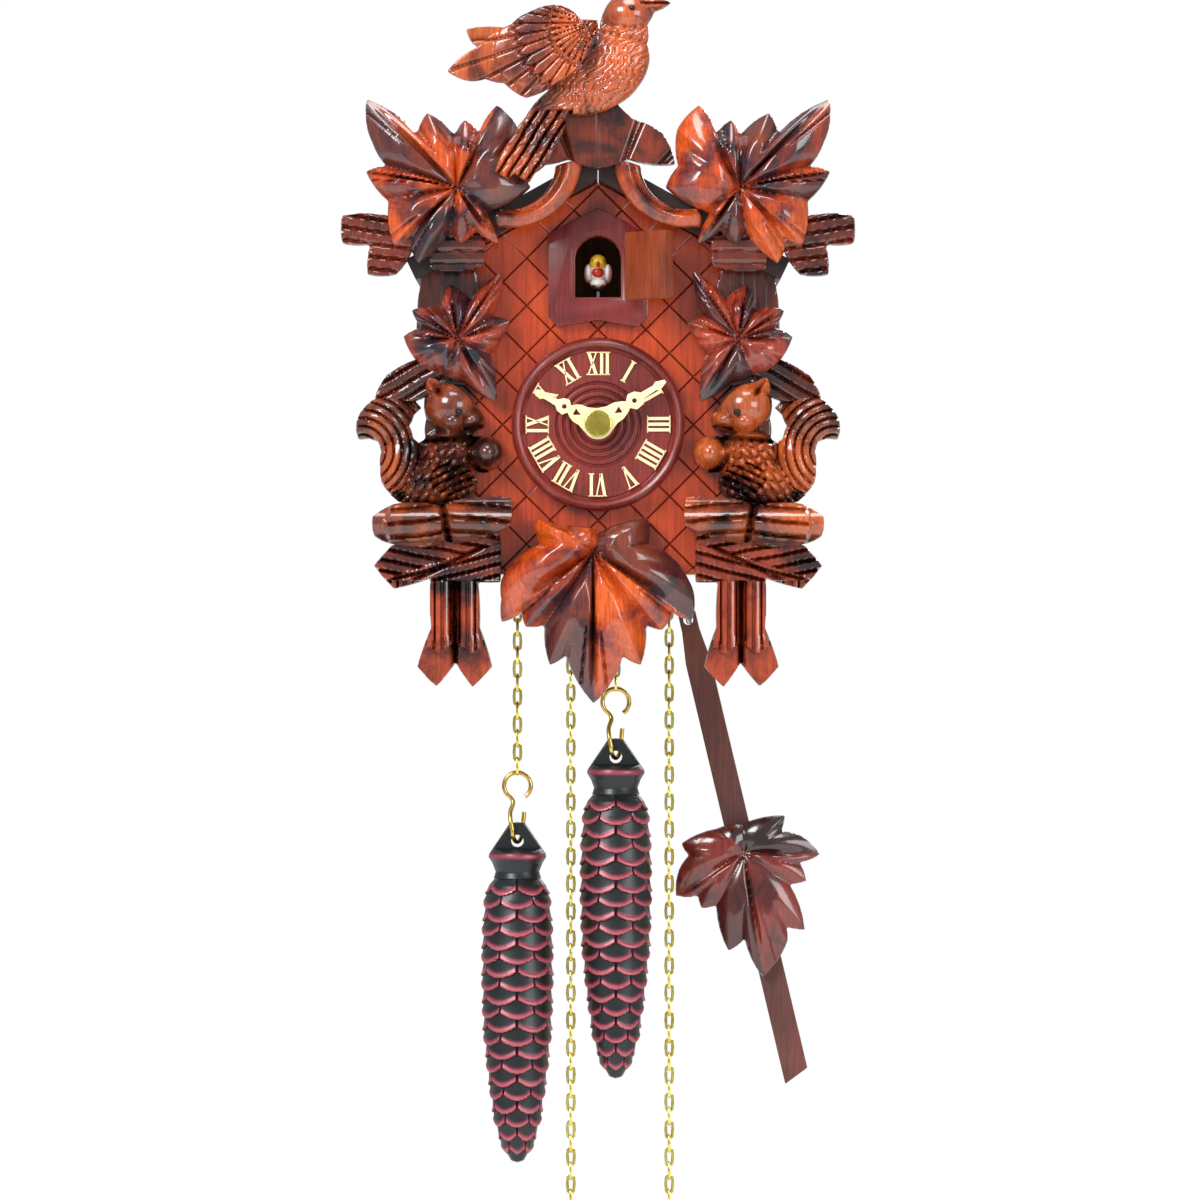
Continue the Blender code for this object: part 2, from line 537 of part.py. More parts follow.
# ---- chains and weights -------------------------------------------------------------------
def build_chain_side(side, arbor, weight_top, wheel_name):
    """One sprocket with its chain, hook, weight and the tied-up tail of the chain."""
    x, z = arbor
    teeth = [(x + r * math.cos(a), z + r * math.sin(a)) for a, r in sprocket_points()]
    sprocket = plate(wheel_name, teeth, CHAIN_Y + 2.2, CHAIN_Y - 2.2, "steel", [circle(arbor, 1.8, 12)], arbor)
    pivot(wheel_name + "_axis", (x, CHAIN_Y, z), [sprocket])

    weight_x, free_x = x - CHAIN_RADIUS, x + CHAIN_RADIUS
    ring_top = weight_top + 13.3 + 4.9 + 0.8
    loaded = straight_run(weight_x, z + CHAIN_RADIUS, ring_top + GAP)
    slack = straight_run(free_x, z, HANK_TOP + GAP)
    loaded_chain = wire(side + "_chain_loaded", loaded, CHAIN_WIDTH / 2, "chain_brass")
    free_chain = wire(side + "_chain_free", slack, CHAIN_WIDTH / 2, "chain_brass")
    hank = plate(side + "_chain_hank", hank_outline(free_x), CHAIN_Y + HANK_DEPTH / 2, CHAIN_Y - HANK_DEPTH / 2,
                 "chain_brass")
    hook = wire(side + "_weight_hook", hook_points(weight_x, weight_top), 0.8, "brass", resolution=1)
    cone = build_weight(side + "_weight", weight_x, weight_top)
    pivot(side + "_weight_axis", (weight_x, CHAIN_Y, weight_top), [loaded_chain, hook, cone])
    pivot(side + "_free_axis", (free_x, CHAIN_Y, HANK_TOP), [free_chain, hank])


def sprocket_points():
    """Angle and radius of a twelve-toothed sprocket's corners."""
    step = 2 * math.pi / 12
    return [((tooth + share) * step, radius) for tooth in range(12) for share, radius in ((-0.2, 7.6), (0.2, 7.6),
                                                                                          (0.3, 6.4), (0.7, 6.4))]


def straight_run(x, top, bottom):
    """A plumb line of points about two and a half chain widths apart."""
    count = max(2, round((top - bottom) / (2.5 * CHAIN_WIDTH)))
    return [(x, CHAIN_Y, top + (bottom - top) * i / count) for i in range(count + 1)]


def hank_outline(x):
    """A skein's outer shape: straight sides and round ends."""
    upper = HANK_TOP - HANK_HALF_WIDTH
    lower = HANK_TOP - HANK_HEIGHT + HANK_HALF_WIDTH
    return [*arc((x, upper), HANK_HALF_WIDTH, 0, 180, 10), *arc((x, lower), HANK_HALF_WIDTH, 180, 360, 10)]


def hook_points(x, top):
    """A ring above, and below it a hook through the hole in the weight's lug."""
    ring = Vector((x, CHAIN_Y, top + 13.3))
    points = [ring + Vector((4.9 * math.sin(a), 0.0, -4.9 * math.cos(a)))
              for a in (math.radians(34 + 296 * i / 14) for i in range(15))]
    bend = Vector((x, CHAIN_Y, top - 2.7))
    across = Vector((math.sin(math.radians(23)), math.cos(math.radians(23)), 0.0))
    neck = [Vector((x - 1.6, CHAIN_Y - 0.6, top + 7.0)), Vector((x - 2.6, CHAIN_Y - 2.4, top + 3.6)),
            Vector((x - 2.4, CHAIN_Y - 4.0, top + 0.4))]
    curl = [bend + 4.6 * (across * math.cos(a) + Vector((0, 0, math.sin(a))))
            for a in (math.radians(180 + 180 * i / 8) for i in range(9))]
    tip = bend + 4.6 * across + Vector((0.6, 0.3, 6.2))
    return [*points, *neck, *curl, tip]


def build_weight(name, x, top):
    """A pine-cone weight with a flat lug at the top, bored for its hook."""
    profile = [(0, 0), (3.0, 0), (4.2, -3.0), (10.5, -11.5), (10.8, -13.0), (8.4, -17.0), (9.2, -21.0), (11.6, -28.0),
               (13.1, -42.0), (WEIGHT_RADIUS, -58.0), (12.9, -76.0), (11.3, -94.0), (8.9, -109.0), (5.6, -119.5),
               (2.6, -124.2), (0, -WEIGHT_LENGTH)]
    cone = turned(name, profile, (x, CHAIN_Y, top), "cast_iron")
    lug_cuts = [plate(name + "_cut", rectangle((x - 13.0, top - 10.8), (x + 13.0, top + 2.0)),
                      CHAIN_Y + near, CHAIN_Y + far, "cast_iron") for near, far in ((14.0, 2.3), (-2.3, -14.0))]
    bore = rod(name + "_bore", (x, top - 6.9), 2.3, CHAIN_Y + 9.0, CHAIN_Y - 9.0, "cast_iron")
    return combine(cone, [*lug_cuts, bore], "DIFFERENCE")


# ---- pendulum -----------------------------------------------------------------------------
PENDULUM_LEAF = [(69.2, -218.3), (67.7, -224.3), (75.1, -225.7), (82.3, -232.7), (74.7, -235.7), (77.1, -242.6),
                 (70.9, -243.6), (76.6, -260.5), (69.7, -259.5), (70.2, -265.0), (61.2, -278.4), (54.3, -264.0),
                 (48.3, -268.5), (43.8, -251.6), (38.4, -252.6), (37.1, -248.1), (28.9, -248.1), (29.9, -238.7),
                 (33.7, -233.2), (30.9, -228.7), (44.0, -223.2), (53.8, -221.3)]


def build_pendulum():
    lean = math.atan2(ROD_END[0] - HOOK_POINT[0], HOOK_POINT[1] - ROD_END[1])
    away = Vector((math.sin(lean), -math.cos(lean)))
    side = Vector((away.y, -away.x))
    top, end = Vector(HOOK_POINT), Vector(ROD_END)
    pivot_point = Vector(VERGE_PIVOT)
    leader_line = (top - pivot_point).normalized()
    leader_end = top - leader_line * 3.4
    arbor = rod("anchor_and_leader", VERGE_PIVOT, 1.2, -35.0, -60.0, "steel", 10)
    pallets = plate("anchor_pallets", pallet_outline(), -56.9, -58.0, "steel")
    leader = wire("anchor_leader",
                  [(VERGE_PIVOT[0], PENDULUM_Y, VERGE_PIVOT[1] + 2.6), (VERGE_PIVOT[0], PENDULUM_Y, VERGE_PIVOT[1]),
                   (leader_end.x, PENDULUM_Y, leader_end.y), (top.x + 0.6, PENDULUM_Y - 1.6, top.y - 1.0),
                   (top.x + 0.2, PENDULUM_Y - 4.2, top.y - 1.0), (top.x - 0.8, PENDULUM_Y - 5.0, top.y + 2.6)],
                  0.9, "steel", resolution=1)
    anchor = combine(arbor, [pallets, leader])
    half = 4.7
    strip = [top + side * 3.3 - away * 3.0, top - side * 3.3 - away * 3.0, top - side * 3.3 + away * 4.0,
             top - side * half + away * 16.0, end - side * half - away * 4.0, end + side * half,
             top + side * half + away * 16.0, top + side * 3.3 + away * 4.0]
    eye = circle(HOOK_POINT, 1.9, 12)
    stick = plate("pendulum_rod", [tuple(p) for p in strip], PENDULUM_Y - 1.4, PENDULUM_Y - 3.9, "rod_wood", [eye],
                  HOOK_POINT)
    leaf = plate("pendulum_leaf", PENDULUM_LEAF, PENDULUM_Y - 4.2, PENDULUM_Y - 12.2, "lacquered_lime")
    pivot("verge_axis", (VERGE_PIVOT[0], PENDULUM_Y, VERGE_PIVOT[1]), [anchor])
    pivot("rod_axis", (HOOK_POINT[0], PENDULUM_Y, HOOK_POINT[1]), [stick])
    pivot("leaf_axis", (52.8, PENDULUM_Y, -233.2), [leaf])


def pallet_outline():
    """An anchor whose short pallets clear the escape wheel at every swing."""
    x, z = VERGE_PIVOT
    right = [(2.0, 2.4), (6.0, -0.8), (7.0, -3.0), (5.6, -3.4), (4.0, -1.6)]
    left = [(-dx, dz) for dx, dz in reversed(right)]
    return [(x + dx, z + dz) for dx, dz in [*right, (0.0, -2.2), *left]]


# ---- strike, voice and cuckoo -------------------------------------------------------------
def build_strike():
    radius = TRAIN_MODULE * GREAT_TEETH / 2
    strike = wheel("strike_great_wheel", STRIKE_ARBOR,
                   [(GREAT_TEETH, radius, TRAIN_MODULE, -68.5, -69.9, 0.0)], 1.4, (-52.3, -74.2))
    pivot("strike_axis", (STRIKE_ARBOR[0], CHAIN_Y, STRIKE_ARBOR[1]), [strike])

    gong_y, gong_z = -14.0, -86.0
    coil = [(math.sin(t) * r, gong_y, gong_z - math.cos(t) * r)
            for t, r in ((2 * math.pi * 2.5 * i / 34 + math.pi, 8.0 + 14.0 * i / 34) for i in range(35))]
    coil = [*coil, (0.0, gong_y, -113.0)]
    gong = wire("gong", coil, 1.0, "steel", resolution=1)
    block = shelf("gong_block", rectangle((-8.0, -20.0), (8.0, -8.0)), CASE_FLOOR + WALL + GAP, -112.0, "steel")
    combine(gong, [block])

    arm = wire("gong_hammer", [(-25.0, -48.0, -62.0), (-25.0, gong_y, -62.0), (-26.0, gong_y, -80.0),
                               (-27.4, gong_y, -86.0)], 0.9, "steel", resolution=1)
    head = rod("gong_hammer_head", (-27.4, -87.0), 3.0, gong_y + 3.0, gong_y - 3.0, "steel", 12)
    hammer = combine(arm, [head])
    pivot("hammer_axis", (-25.0, -30.0, -62.0), [hammer])

    inner = CASE_HALF_WIDTH - WALL - GAP
    for side, low, high in (("left", -inner, -43.0), ("right", 43.0, inner)):
        shelf("whistle_" + side, rectangle((low, -45.0), (high, -20.0)), -112.0, -48.3, "pine")
        lid = shelf("bellows_top_" + side, rectangle((low + 0.2, -48.0), (high - 0.2, -17.0)), -47.9, -44.5, "pine")
        pivot("bellows_axis_" + side, ((low + high) / 2, -17.0, -47.9), [lid])


def build_cuckoo():
    perch_y, perch_z = -79.0, -26.2
    arm = wire("cuckoo_arm", [(-46.0, -66.0, -84.0), (-46.0, -66.0, -31.6), (0.0, perch_y, -31.6),
                              (0.0, perch_y, perch_z)], 1.1, "steel", resolution=1)
    data = bpy.data.meshes.new("cuckoo_bird")
    shape = bmesh.new()
    bmesh.ops.create_uvsphere(shape, u_segments=12, v_segments=8, radius=1.0 * MM)
    bmesh.ops.scale(shape, vec=(4.6, 9.5, 6.6), verts=shape.verts)
    shape.to_mesh(data)
    shape.free()
    bird = add_object("cuckoo_bird", data, "bird_plastic")
    bird.location = (0, -80.5 * MM, -19.2 * MM)
    pivot("cuckoo_arm_axis", (-46.0, -66.0, -31.6), [arm])
    pivot("cuckoo_bow_axis", (0.0, -82.5, -24.0), [bird])


build_case()
build_front_trim()
build_carvings()
build_plates()
build_time_train()
build_motion_work()
build_chain_side("strike", STRIKE_ARBOR, STRIKE_WEIGHT_TOP, "strike_chain_wheel")
build_chain_side("time", GREAT_ARBOR, TIME_WEIGHT_TOP, "time_chain_wheel")
build_pendulum()
build_strike()
build_cuckoo()
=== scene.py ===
"""The finish of a carved cuckoo clock: lacquered carvings, scribed case, dial, chains and cone weights.

Lengths are in millimetres until a mesh is written, where MM turns them into metres.
The frame: +Z up, the clock faces -Y, the wall is the plane Y = 0.
"""
import math

import bpy
import numpy as np
from mathutils import Matrix, Vector


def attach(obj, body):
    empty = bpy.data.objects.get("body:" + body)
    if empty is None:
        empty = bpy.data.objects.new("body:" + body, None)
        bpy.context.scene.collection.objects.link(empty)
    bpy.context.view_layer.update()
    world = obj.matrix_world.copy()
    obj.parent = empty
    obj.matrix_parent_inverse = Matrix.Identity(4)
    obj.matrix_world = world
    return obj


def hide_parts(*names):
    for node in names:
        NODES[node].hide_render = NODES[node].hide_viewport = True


MM = 0.001
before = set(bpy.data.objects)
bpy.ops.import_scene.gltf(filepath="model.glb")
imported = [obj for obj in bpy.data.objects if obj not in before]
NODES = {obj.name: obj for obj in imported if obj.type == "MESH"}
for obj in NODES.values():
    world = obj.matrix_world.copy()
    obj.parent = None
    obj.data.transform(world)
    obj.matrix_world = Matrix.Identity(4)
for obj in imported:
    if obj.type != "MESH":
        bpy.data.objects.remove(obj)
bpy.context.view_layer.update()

DIAL = (0.0, -75.0)            # x and z of the hands' axis
LEFT, RIGHT = -1, 1
SIDES = ((LEFT, "left"), (RIGHT, "right"))
CHAIN_PITCH, CHAIN_WIDTH, CHAIN_WIRE = 5.0, 3.6, 1.1
CHAIN_Y = -63.0                # all four chains hang in this plane


# ---- colour and material ------------------------------------------------------------------
def tint(code):
    """An sRGB hex colour as a linear RGBA tuple."""
    parts = [int(code[i:i + 2], 16) / 255 for i in (1, 3, 5)]
    linear = [c / 12.92 if c <= 0.04045 else ((c + 0.055) / 1.055) ** 2.4 for c in parts]
    return (*linear, 1.0)


def add(tree, kind, inputs=None, stops=(), **settings):
    """A shader node with its settings and links.

    An input is a value, or (node, output) to link. Stops are a colour ramp's (position, colour).
    """
    made = tree.nodes.new(kind)
    for name, value in settings.items():
        setattr(made, name, value)
    for key, value in (inputs or {}).items():
        if isinstance(value, tuple) and isinstance(value[0], bpy.types.Node):
            tree.links.new(value[0].outputs[value[1]], made.inputs[key])
        else:
            made.inputs[key].default_value = value
    if stops:
        points = made.color_ramp.elements
        points[0].position, points[-1].position = stops[0][0], stops[-1][0]
        for place, code in stops[1:-1]:
            points.new(place)
        for point, (place, code) in zip(points, stops):
            point.color = tint(code)
    return made


MIX_FACTOR, MIX_FIRST, MIX_SECOND, MIX_COLOUR = 0, 6, 7, 2    # a colour Mix node's sockets


def new_material(name, **sockets):
    made = bpy.data.materials.new(name)
    made.use_nodes = True
    shader = made.node_tree.nodes["Principled BSDF"]
    for socket, value in sockets.items():
        shader.inputs[socket.replace("_", " ")].default_value = value
    return made, made.node_tree, shader


def grain(tree, across, along, axis="Z", seed=0.0):
    """Noise drawn out along one axis: across and along are the grain's spacings in millimetres."""
    place = add(tree, "ShaderNodeTexCoord")
    stretch = {"X": 1 / across, "Y": 1 / across, "Z": 1 / across, axis: 1 / along}
    mapping = add(tree, "ShaderNodeMapping", {"Vector": (place, "Object"), "Location": (seed, seed, seed),
                                              "Scale": [stretch[k] / MM for k in "XYZ"]})
    return add(tree, "ShaderNodeTexNoise", {"Vector": (mapping, "Vector"), "Scale": 1.0, "Detail": 5.0,
                                            "Roughness": 0.6, "Distortion": 0.6})


def carved_lacquer(name, light, middle, dark, cloud, seed, shade=0.5):
    """Carved lime, stained mahogany and sprayed with gloss lacquer.

    The stain lies in clouds so many millimetres across. The cuts, the low places and the sawn edges are
    darkened, up to a height of shade, as painted shade. The lacquer over it gives hard bright reflections.
    """
    made, tree, shader = new_material(name, Roughness=0.24, Coat_Weight=0.7, Coat_Roughness=0.07,
                                      Coat_IOR=1.5, Specular_IOR_Level=0.5)
    patches = grain(tree, cloud, cloud, seed=seed)
    lines = grain(tree, 1.1, 14.0, seed=seed)
    # depth: 0 to 1, from painted shade in the cuts, low places, sawn edges and shaded leaf facets to the light wiped
    # wood
    depth = add(tree, "ShaderNodeAttribute", attribute_name="depth")
    patch_share = add(tree, "ShaderNodeMapRange", {"Value": (patches, "Fac"), "From Min": 0.40, "From Max": 0.62})
    high = add(tree, "ShaderNodeMix", {MIX_FACTOR: (patch_share, "Result"), MIX_FIRST: tint(middle),
                                       MIX_SECOND: tint(light)}, data_type="RGBA")
    streak = add(tree, "ShaderNodeMapRange", {"Value": (lines, "Fac"), "From Min": 0.35, "From Max": 0.7,
                                              "To Min": 0.55, "To Max": 1.1})
    grained = add(tree, "ShaderNodeMix", {MIX_FACTOR: 1.0, MIX_FIRST: (high, MIX_COLOUR),
                                          MIX_SECOND: (streak, "Result")}, data_type="RGBA", blend_type="MULTIPLY")
    high_share = add(tree, "ShaderNodeMapRange", {"Value": (depth, "Fac"), "From Min": 0.05, "From Max": shade})
    low = add(tree, "ShaderNodeMapRange", {"Value": (patches, "Fac"), "From Min": 0.34, "From Max": 0.5})
    both = add(tree, "ShaderNodeMath", {0: (high_share, "Result"), 1: (low, "Result")}, operation="MULTIPLY")
    colour = add(tree, "ShaderNodeMix", {MIX_FACTOR: (both, "Value"), MIX_FIRST: tint(dark),
                                         MIX_SECOND: (grained, MIX_COLOUR)}, data_type="RGBA")
    tree.links.new(colour.outputs[MIX_COLOUR], shader.inputs["Base Color"])
    tools = grain(tree, 0.9, 7.0, seed=seed + 3)
    bump = add(tree, "ShaderNodeBump", {"Height": (tools, "Fac"), "Strength": 0.25, "Distance": 0.0002})
    tree.links.new(bump.outputs["Normal"], shader.inputs["Normal"])
    return made


def board_wood(name, light, dark, roughness, coat=0.0, axis="Z", across=1.6, along=30.0, seed=0.0):
    """Planed and stained wood: the grain shows as darker streaks, and coat is its lacquer."""
    made, tree, shader = new_material(name, Roughness=roughness, Coat_Weight=coat, Coat_Roughness=0.12)
    lines = grain(tree, across, along, axis, seed)
    clouds = grain(tree, 30.0, 45.0, axis, seed + 5)
    share = add(tree, "ShaderNodeMath", {0: (lines, "Fac"), 1: (clouds, "Fac")}, operation="ADD")
    half = add(tree, "ShaderNodeMapRange", {"Value": (share, "Value"), "From Min": 0.75, "From Max": 1.25})
    colour = add(tree, "ShaderNodeValToRGB", {"Fac": (half, "Result")}, ((0.0, dark), (1.0, light)))
    tree.links.new(colour.outputs["Color"], shader.inputs["Base Color"])
    bump = add(tree, "ShaderNodeBump", {"Height": (lines, "Fac"), "Strength": 0.2, "Distance": 0.00015})
    tree.links.new(bump.outputs["Normal"], shader.inputs["Normal"])
    return made


def scribed_board(name, light, dark, cut, edge_from, edge_to):
    """A lacquered board: stain lies dark in its scribed lines and beyond edge_from, near its sides."""
    made = board_wood(name, light, dark, 0.25, 0.6, "Z", 1.4, 26.0)
    tree = made.node_tree
    shader = tree.nodes["Principled BSDF"]
    plain = shader.inputs["Base Color"].links[0].from_node
    depth = add(tree, "ShaderNodeAttribute", attribute_name="depth")
    place = add(tree, "ShaderNodeTexCoord")
    axes = add(tree, "ShaderNodeSeparateXYZ", {"Vector": (place, "Object")})
    aside = add(tree, "ShaderNodeMath", {0: (axes, "X")}, operation="ABSOLUTE")
    centre = add(tree, "ShaderNodeMapRange", {"Value": (aside, "Value"), "From Min": edge_from * MM,
                                              "From Max": edge_to * MM, "To Min": 1.0, "To Max": 0.12})
    keep = add(tree, "ShaderNodeMath", {0: (depth, "Fac"), 1: (centre, "Result")}, operation="MULTIPLY")
    colour = add(tree, "ShaderNodeMix", {MIX_FACTOR: (keep, "Value"), MIX_FIRST: tint(cut),
                                         MIX_SECOND: (plain, "Color")}, data_type="RGBA")
    tree.links.new(colour.outputs[MIX_COLOUR], shader.inputs["Base Color"])
    return made


def metal(name, light, dark, roughness, scratch=0.6):
    """Rolled or drawn metal: a faint cloud of tarnish and fine scratches break up its gloss."""
    made, tree, shader = new_material(name, Metallic=1.0, Roughness=roughness)
    clouds = grain(tree, 9.0, 9.0)
    colour = add(tree, "ShaderNodeValToRGB", {"Fac": (clouds, "Fac")}, ((0.35, dark), (0.65, light)))
    tree.links.new(colour.outputs["Color"], shader.inputs["Base Color"])
    fine = grain(tree, scratch, 8.0, "X")
    bump = add(tree, "ShaderNodeBump", {"Height": (fine, "Fac"), "Strength": 0.12, "Distance": 0.0001})
    tree.links.new(bump.outputs["Normal"], shader.inputs["Normal"])
    return made


def moulded_plastic(name, code, shade, roughness=0.32):
    """Injection-moulded plastic: an even colour with a slight yellowing, softly glossy."""
    made, tree, shader = new_material(name, Roughness=roughness, IOR=1.46)
    clouds = grain(tree, 6.0, 6.0)
    colour = add(tree, "ShaderNodeValToRGB", {"Fac": (clouds, "Fac")}, ((0.3, shade), (0.7, code)))
    tree.links.new(colour.outputs["Color"], shader.inputs["Base Color"])
    return made


def cone_iron():
    """Cast iron, sprayed near-black, with wine red along the raised scale edges and the rim under the lug: partly
    dry-brushed paint and partly a painted highlight.
    """
    made, tree, shader = new_material("painted_cast_iron", Roughness=0.42, Metallic=0.25, Coat_Weight=0.3,
                                      Coat_Roughness=0.25)
    # depth here is the wine red share along the scale edges and the rim under the lug: partly dry-brushed paint, partly
    # painted highlight
    edge = add(tree, "ShaderNodeAttribute", attribute_name="depth")
    clouds = grain(tree, 3.0, 3.0)
    uneven = add(tree, "ShaderNodeMath", {0: (clouds, "Fac"), 1: 0.5, 2: (edge, "Fac")}, operation="MULTIPLY_ADD")
    share = add(tree, "ShaderNodeMapRange", {"Value": (uneven, "Value"), "From Min": 0.15, "From Max": 1.25})
    # the two reds at the ramp's top are painted highlight mixed with the dry-brushed paint
    colour = add(tree, "ShaderNodeValToRGB", {"Fac": (share, "Result")},
                 ((0.10, "#0a1316"), (0.38, "#251018"), (0.66, "#742639"), (1.0, "#ab4f5b")))
    tree.links.new(colour.outputs["Color"], shader.inputs["Base Color"])
    bump = add(tree, "ShaderNodeBump", {"Height": (clouds, "Fac"), "Strength": 0.3, "Distance": 0.0003})
    tree.links.new(bump.outputs["Normal"], shader.inputs["Normal"])
    return made


# the leaves' dark, a bluish black, is painted shade with a painted bluish reflection in it
LEAF_WOOD = carved_lacquer("lacquered_leaf_carving", "#e0601c", "#ad3310", "#121821", 26.0, 1.0, shade=0.6)
DARK_LEAF_WOOD = carved_lacquer("lacquered_dark_leaf", "#b5452a", "#6f2019", "#121821", 18.0, 9.0, shade=0.7)
FUR_WOOD = carved_lacquer("lacquered_squirrel_carving", "#c25c28", "#923f1e", "#200f11", 34.0, 7.0, shade=0.6)
FOOT_WOOD = carved_lacquer("lacquered_log_carving", "#bb4a24", "#7d2a16", "#170d12", 24.0, 4.0, shade=0.7)
# also colours the dark boards behind the leaves, which are painted shade
BRANCH_AND_SHADE_WOOD = carved_lacquer("lacquered_branch_and_shade_boards", "#7a2c17", "#45180f", "#170b0d", 22.0, 4.0)
BIRD_WOOD = carved_lacquer("lacquered_bird_carving", "#d4652f", "#9c3c1c", "#1d0d10", 30.0, 12.0, shade=0.6)
CROWN_WOOD = carved_lacquer("lacquered_crown_carving", "#8c3218", "#4e1b10", "#180b0d", 24.0, 15.0)
VINE_WOOD = carved_lacquer("lacquered_vine_carving", "#c4511f", "#8a2f12", "#180b0d", 20.0, 11.0)
PENDULUM_WOOD = carved_lacquer("lacquered_pendulum_leaf", "#84291c", "#541712", "#1f0c0e", 18.0, 21.0)
CASE_WOOD = scribed_board("lacquered_case_front", "#d44d1a", "#9a2e0d", "#3c140b", 43.0, 47.0)
CASE_DARK = board_wood("stained_case_boards", "#4a2018", "#240f0d", 0.4, 0.3, "Z", 1.8, 40.0)
ROOF_WOOD = board_wood("stained_roof_boards", "#3a1a15", "#1a0c0b", 0.38, 0.35, "Y", 1.8, 40.0)
CHERRY = board_wood("cherry_stained_beech", "#7c2220", "#4c1114", 0.33, 0.4, "Z", 0.9, 12.0, 2.0)
DIAL_WOOD = board_wood("turned_cherry_dial", "#8a2c21", "#4e1415", 0.36, 0.35, "Z", 0.8, 9.0, 3.0)
DOOR_WOOD = board_wood("stained_door_wood", "#99421f", "#602611", 0.38, 0.25, "Z", 0.9, 12.0, 9.0)
PINE = board_wood("planed_pine", "#cda66f", "#a87d49", 0.6, 0.0, "Z", 2.4, 50.0)
ROD_WOOD = board_wood("matte_stained_rod", "#6b352b", "#43201b", 0.55, 0.05, "Z", 0.8, 20.0, 6.0)
BRASS = metal("polished_brass", "#dfc06a", "#b8924a", 0.24)
CHAIN_BRASS = metal("plated_chain_brass", "#ece07a", "#c9b34a", 0.26, 0.3)
STEEL = metal("drawn_steel", "#a9aaad", "#77787c", 0.34)
IVORY = moulded_plastic("ivory_plastic", "#f4e8bd", "#e2cf96")
WHITE_PAINT = moulded_plastic("white_bird_paint", "#f2f0ea", "#dcd8cc")
YELLOW_PAINT = moulded_plastic("yellow_bird_paint", "#e9c53a", "#cfa422")
RED_PAINT = moulded_plastic("red_bird_paint", "#c42a1c", "#9c1d14")
BLACK_PAINT = moulded_plastic("black_bird_paint", "#17161a", "#0c0b0e")
BEAD = moulded_plastic("black_glass_bead", "#0c0a0a", "#060505", 0.08)
IRON = cone_iron()


# ---- mesh helpers -------------------------------------------------------------------------
def deselect():
    if bpy.context.mode != "OBJECT":
        bpy.ops.object.mode_set(mode="OBJECT")
    bpy.ops.object.select_all(action="DESELECT")


def make_active(piece):
    deselect()
    piece.select_set(True)
    bpy.context.view_layer.objects.active = piece


def settle(piece):
    """Writes the object's place into its mesh."""
    make_active(piece)
    bpy.ops.object.transform_apply(location=True, rotation=True, scale=True)
    return piece


def apply_modifiers(piece):
    make_active(piece)
    for modifier in list(piece.modifiers):
        bpy.ops.object.modifier_apply(modifier=modifier.name)
    return piece


def smooth(piece, angle=35.0):
    make_active(piece)
    bpy.ops.object.shade_smooth_by_angle(angle=math.radians(angle))
    return piece


def turn_outward(piece):
    """Welds the mesh's seams and faces all its normals outwards."""
    make_active(piece)
    bpy.ops.object.mode_set(mode="EDIT")
    bpy.ops.mesh.select_all(action="SELECT")
    bpy.ops.mesh.remove_doubles(threshold=0.000002)
    bpy.ops.mesh.normals_make_consistent(inside=False)
    bpy.ops.object.mode_set(mode="OBJECT")
    return piece


def mesh_object(name, points, edges, faces):
    """A new object with a mesh of points in millimetres."""
    data = bpy.data.meshes.new(name)
    data.from_pydata([tuple(c * MM for c in point) for point in points], edges, faces)
    made = bpy.data.objects.new(name, data)
    bpy.context.scene.collection.objects.link(made)
    return made


def ease_edges(piece, width, segments=2, angle=30.0):
    """A bevel on the edges that turn by more than an angle in degrees."""
    edge = piece.modifiers.new("Eased edges", "BEVEL")
    edge.width = width * MM
    edge.segments = segments
    edge.limit_method = "ANGLE"
    edge.angle_limit = math.radians(angle)


def prism(name, outline, back, front):
    """A sawn board of one outline between two depths."""
    deselect()
    bpy.ops.mesh.primitive_circle_add(vertices=len(outline), radius=0.01, fill_type="NGON")
    block = bpy.context.object
    block.name = name
    for vertex, (x, z) in zip(block.data.vertices, outline):
        vertex.co = (x * MM, back * MM, z * MM)
    bpy.ops.object.mode_set(mode="EDIT")
    bpy.ops.mesh.select_all(action="SELECT")
    bpy.ops.mesh.extrude_region_move(TRANSFORM_OT_translate={"value": (0, (front - back) * MM, 0)})
    bpy.ops.mesh.select_all(action="SELECT")
    bpy.ops.mesh.normals_make_consistent(inside=False)
    bpy.ops.object.mode_set(mode="OBJECT")
    return block


def join(pieces, name):
    make_active(pieces[0])
    for piece in pieces:
        piece.select_set(True)
    if len(pieces) > 1:
        bpy.ops.object.join()
    made = bpy.context.object
    made.name = made.data.name = name
    return made


def dress(piece, material, body="case", nodes=()):
    """Gives a finished piece its material and the body it rides on."""
    if material is not None:
        piece.data.materials.clear()
        piece.data.materials.append(material)
    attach(piece, body)
    if nodes:
        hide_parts(*nodes)
    return piece


def points_of(piece):
    flat = np.empty(len(piece.data.vertices) * 3, np.float32)
    piece.data.vertices.foreach_get("co", flat)
    return flat.reshape(-1, 3).astype(float) / MM


def place_points(piece, points):
    piece.data.vertices.foreach_set("co", (points * MM).astype(np.float32).ravel())
    piece.data.update()


def record_depth(piece, values):
    """Keeps how high each point stands, for the colour: 0 in a cut and 1 on a crest, dark as painted shade on the
    carvings and as stain in the case front's lines.
    """
    mark = piece.data.attributes.new("depth", "FLOAT", "POINT")
    mark.data.foreach_set("value", np.clip(values, 0, 1).astype(np.float32))


def mirrored(points):
    return [(-x, z) for x, z in reversed(points)]


# ---- carving ------------------------------------------------------------------------------
BOARD_FACE = -90.6             # y of the case's front, where the carvings on it stand
LEAF_BACK = -104.6             # y where the top leaves, the branch ends between them and the crest start
BLANK = 2.5                    # thickness of a carving's blank before its relief is cut
EDGE_PAINTED_SHADE = 0.3               # share of the light kept on a carving's edges and back; the dark there is painted shade
SHORT_EDGE = 4.0               # an outline's edge below this length stays straight


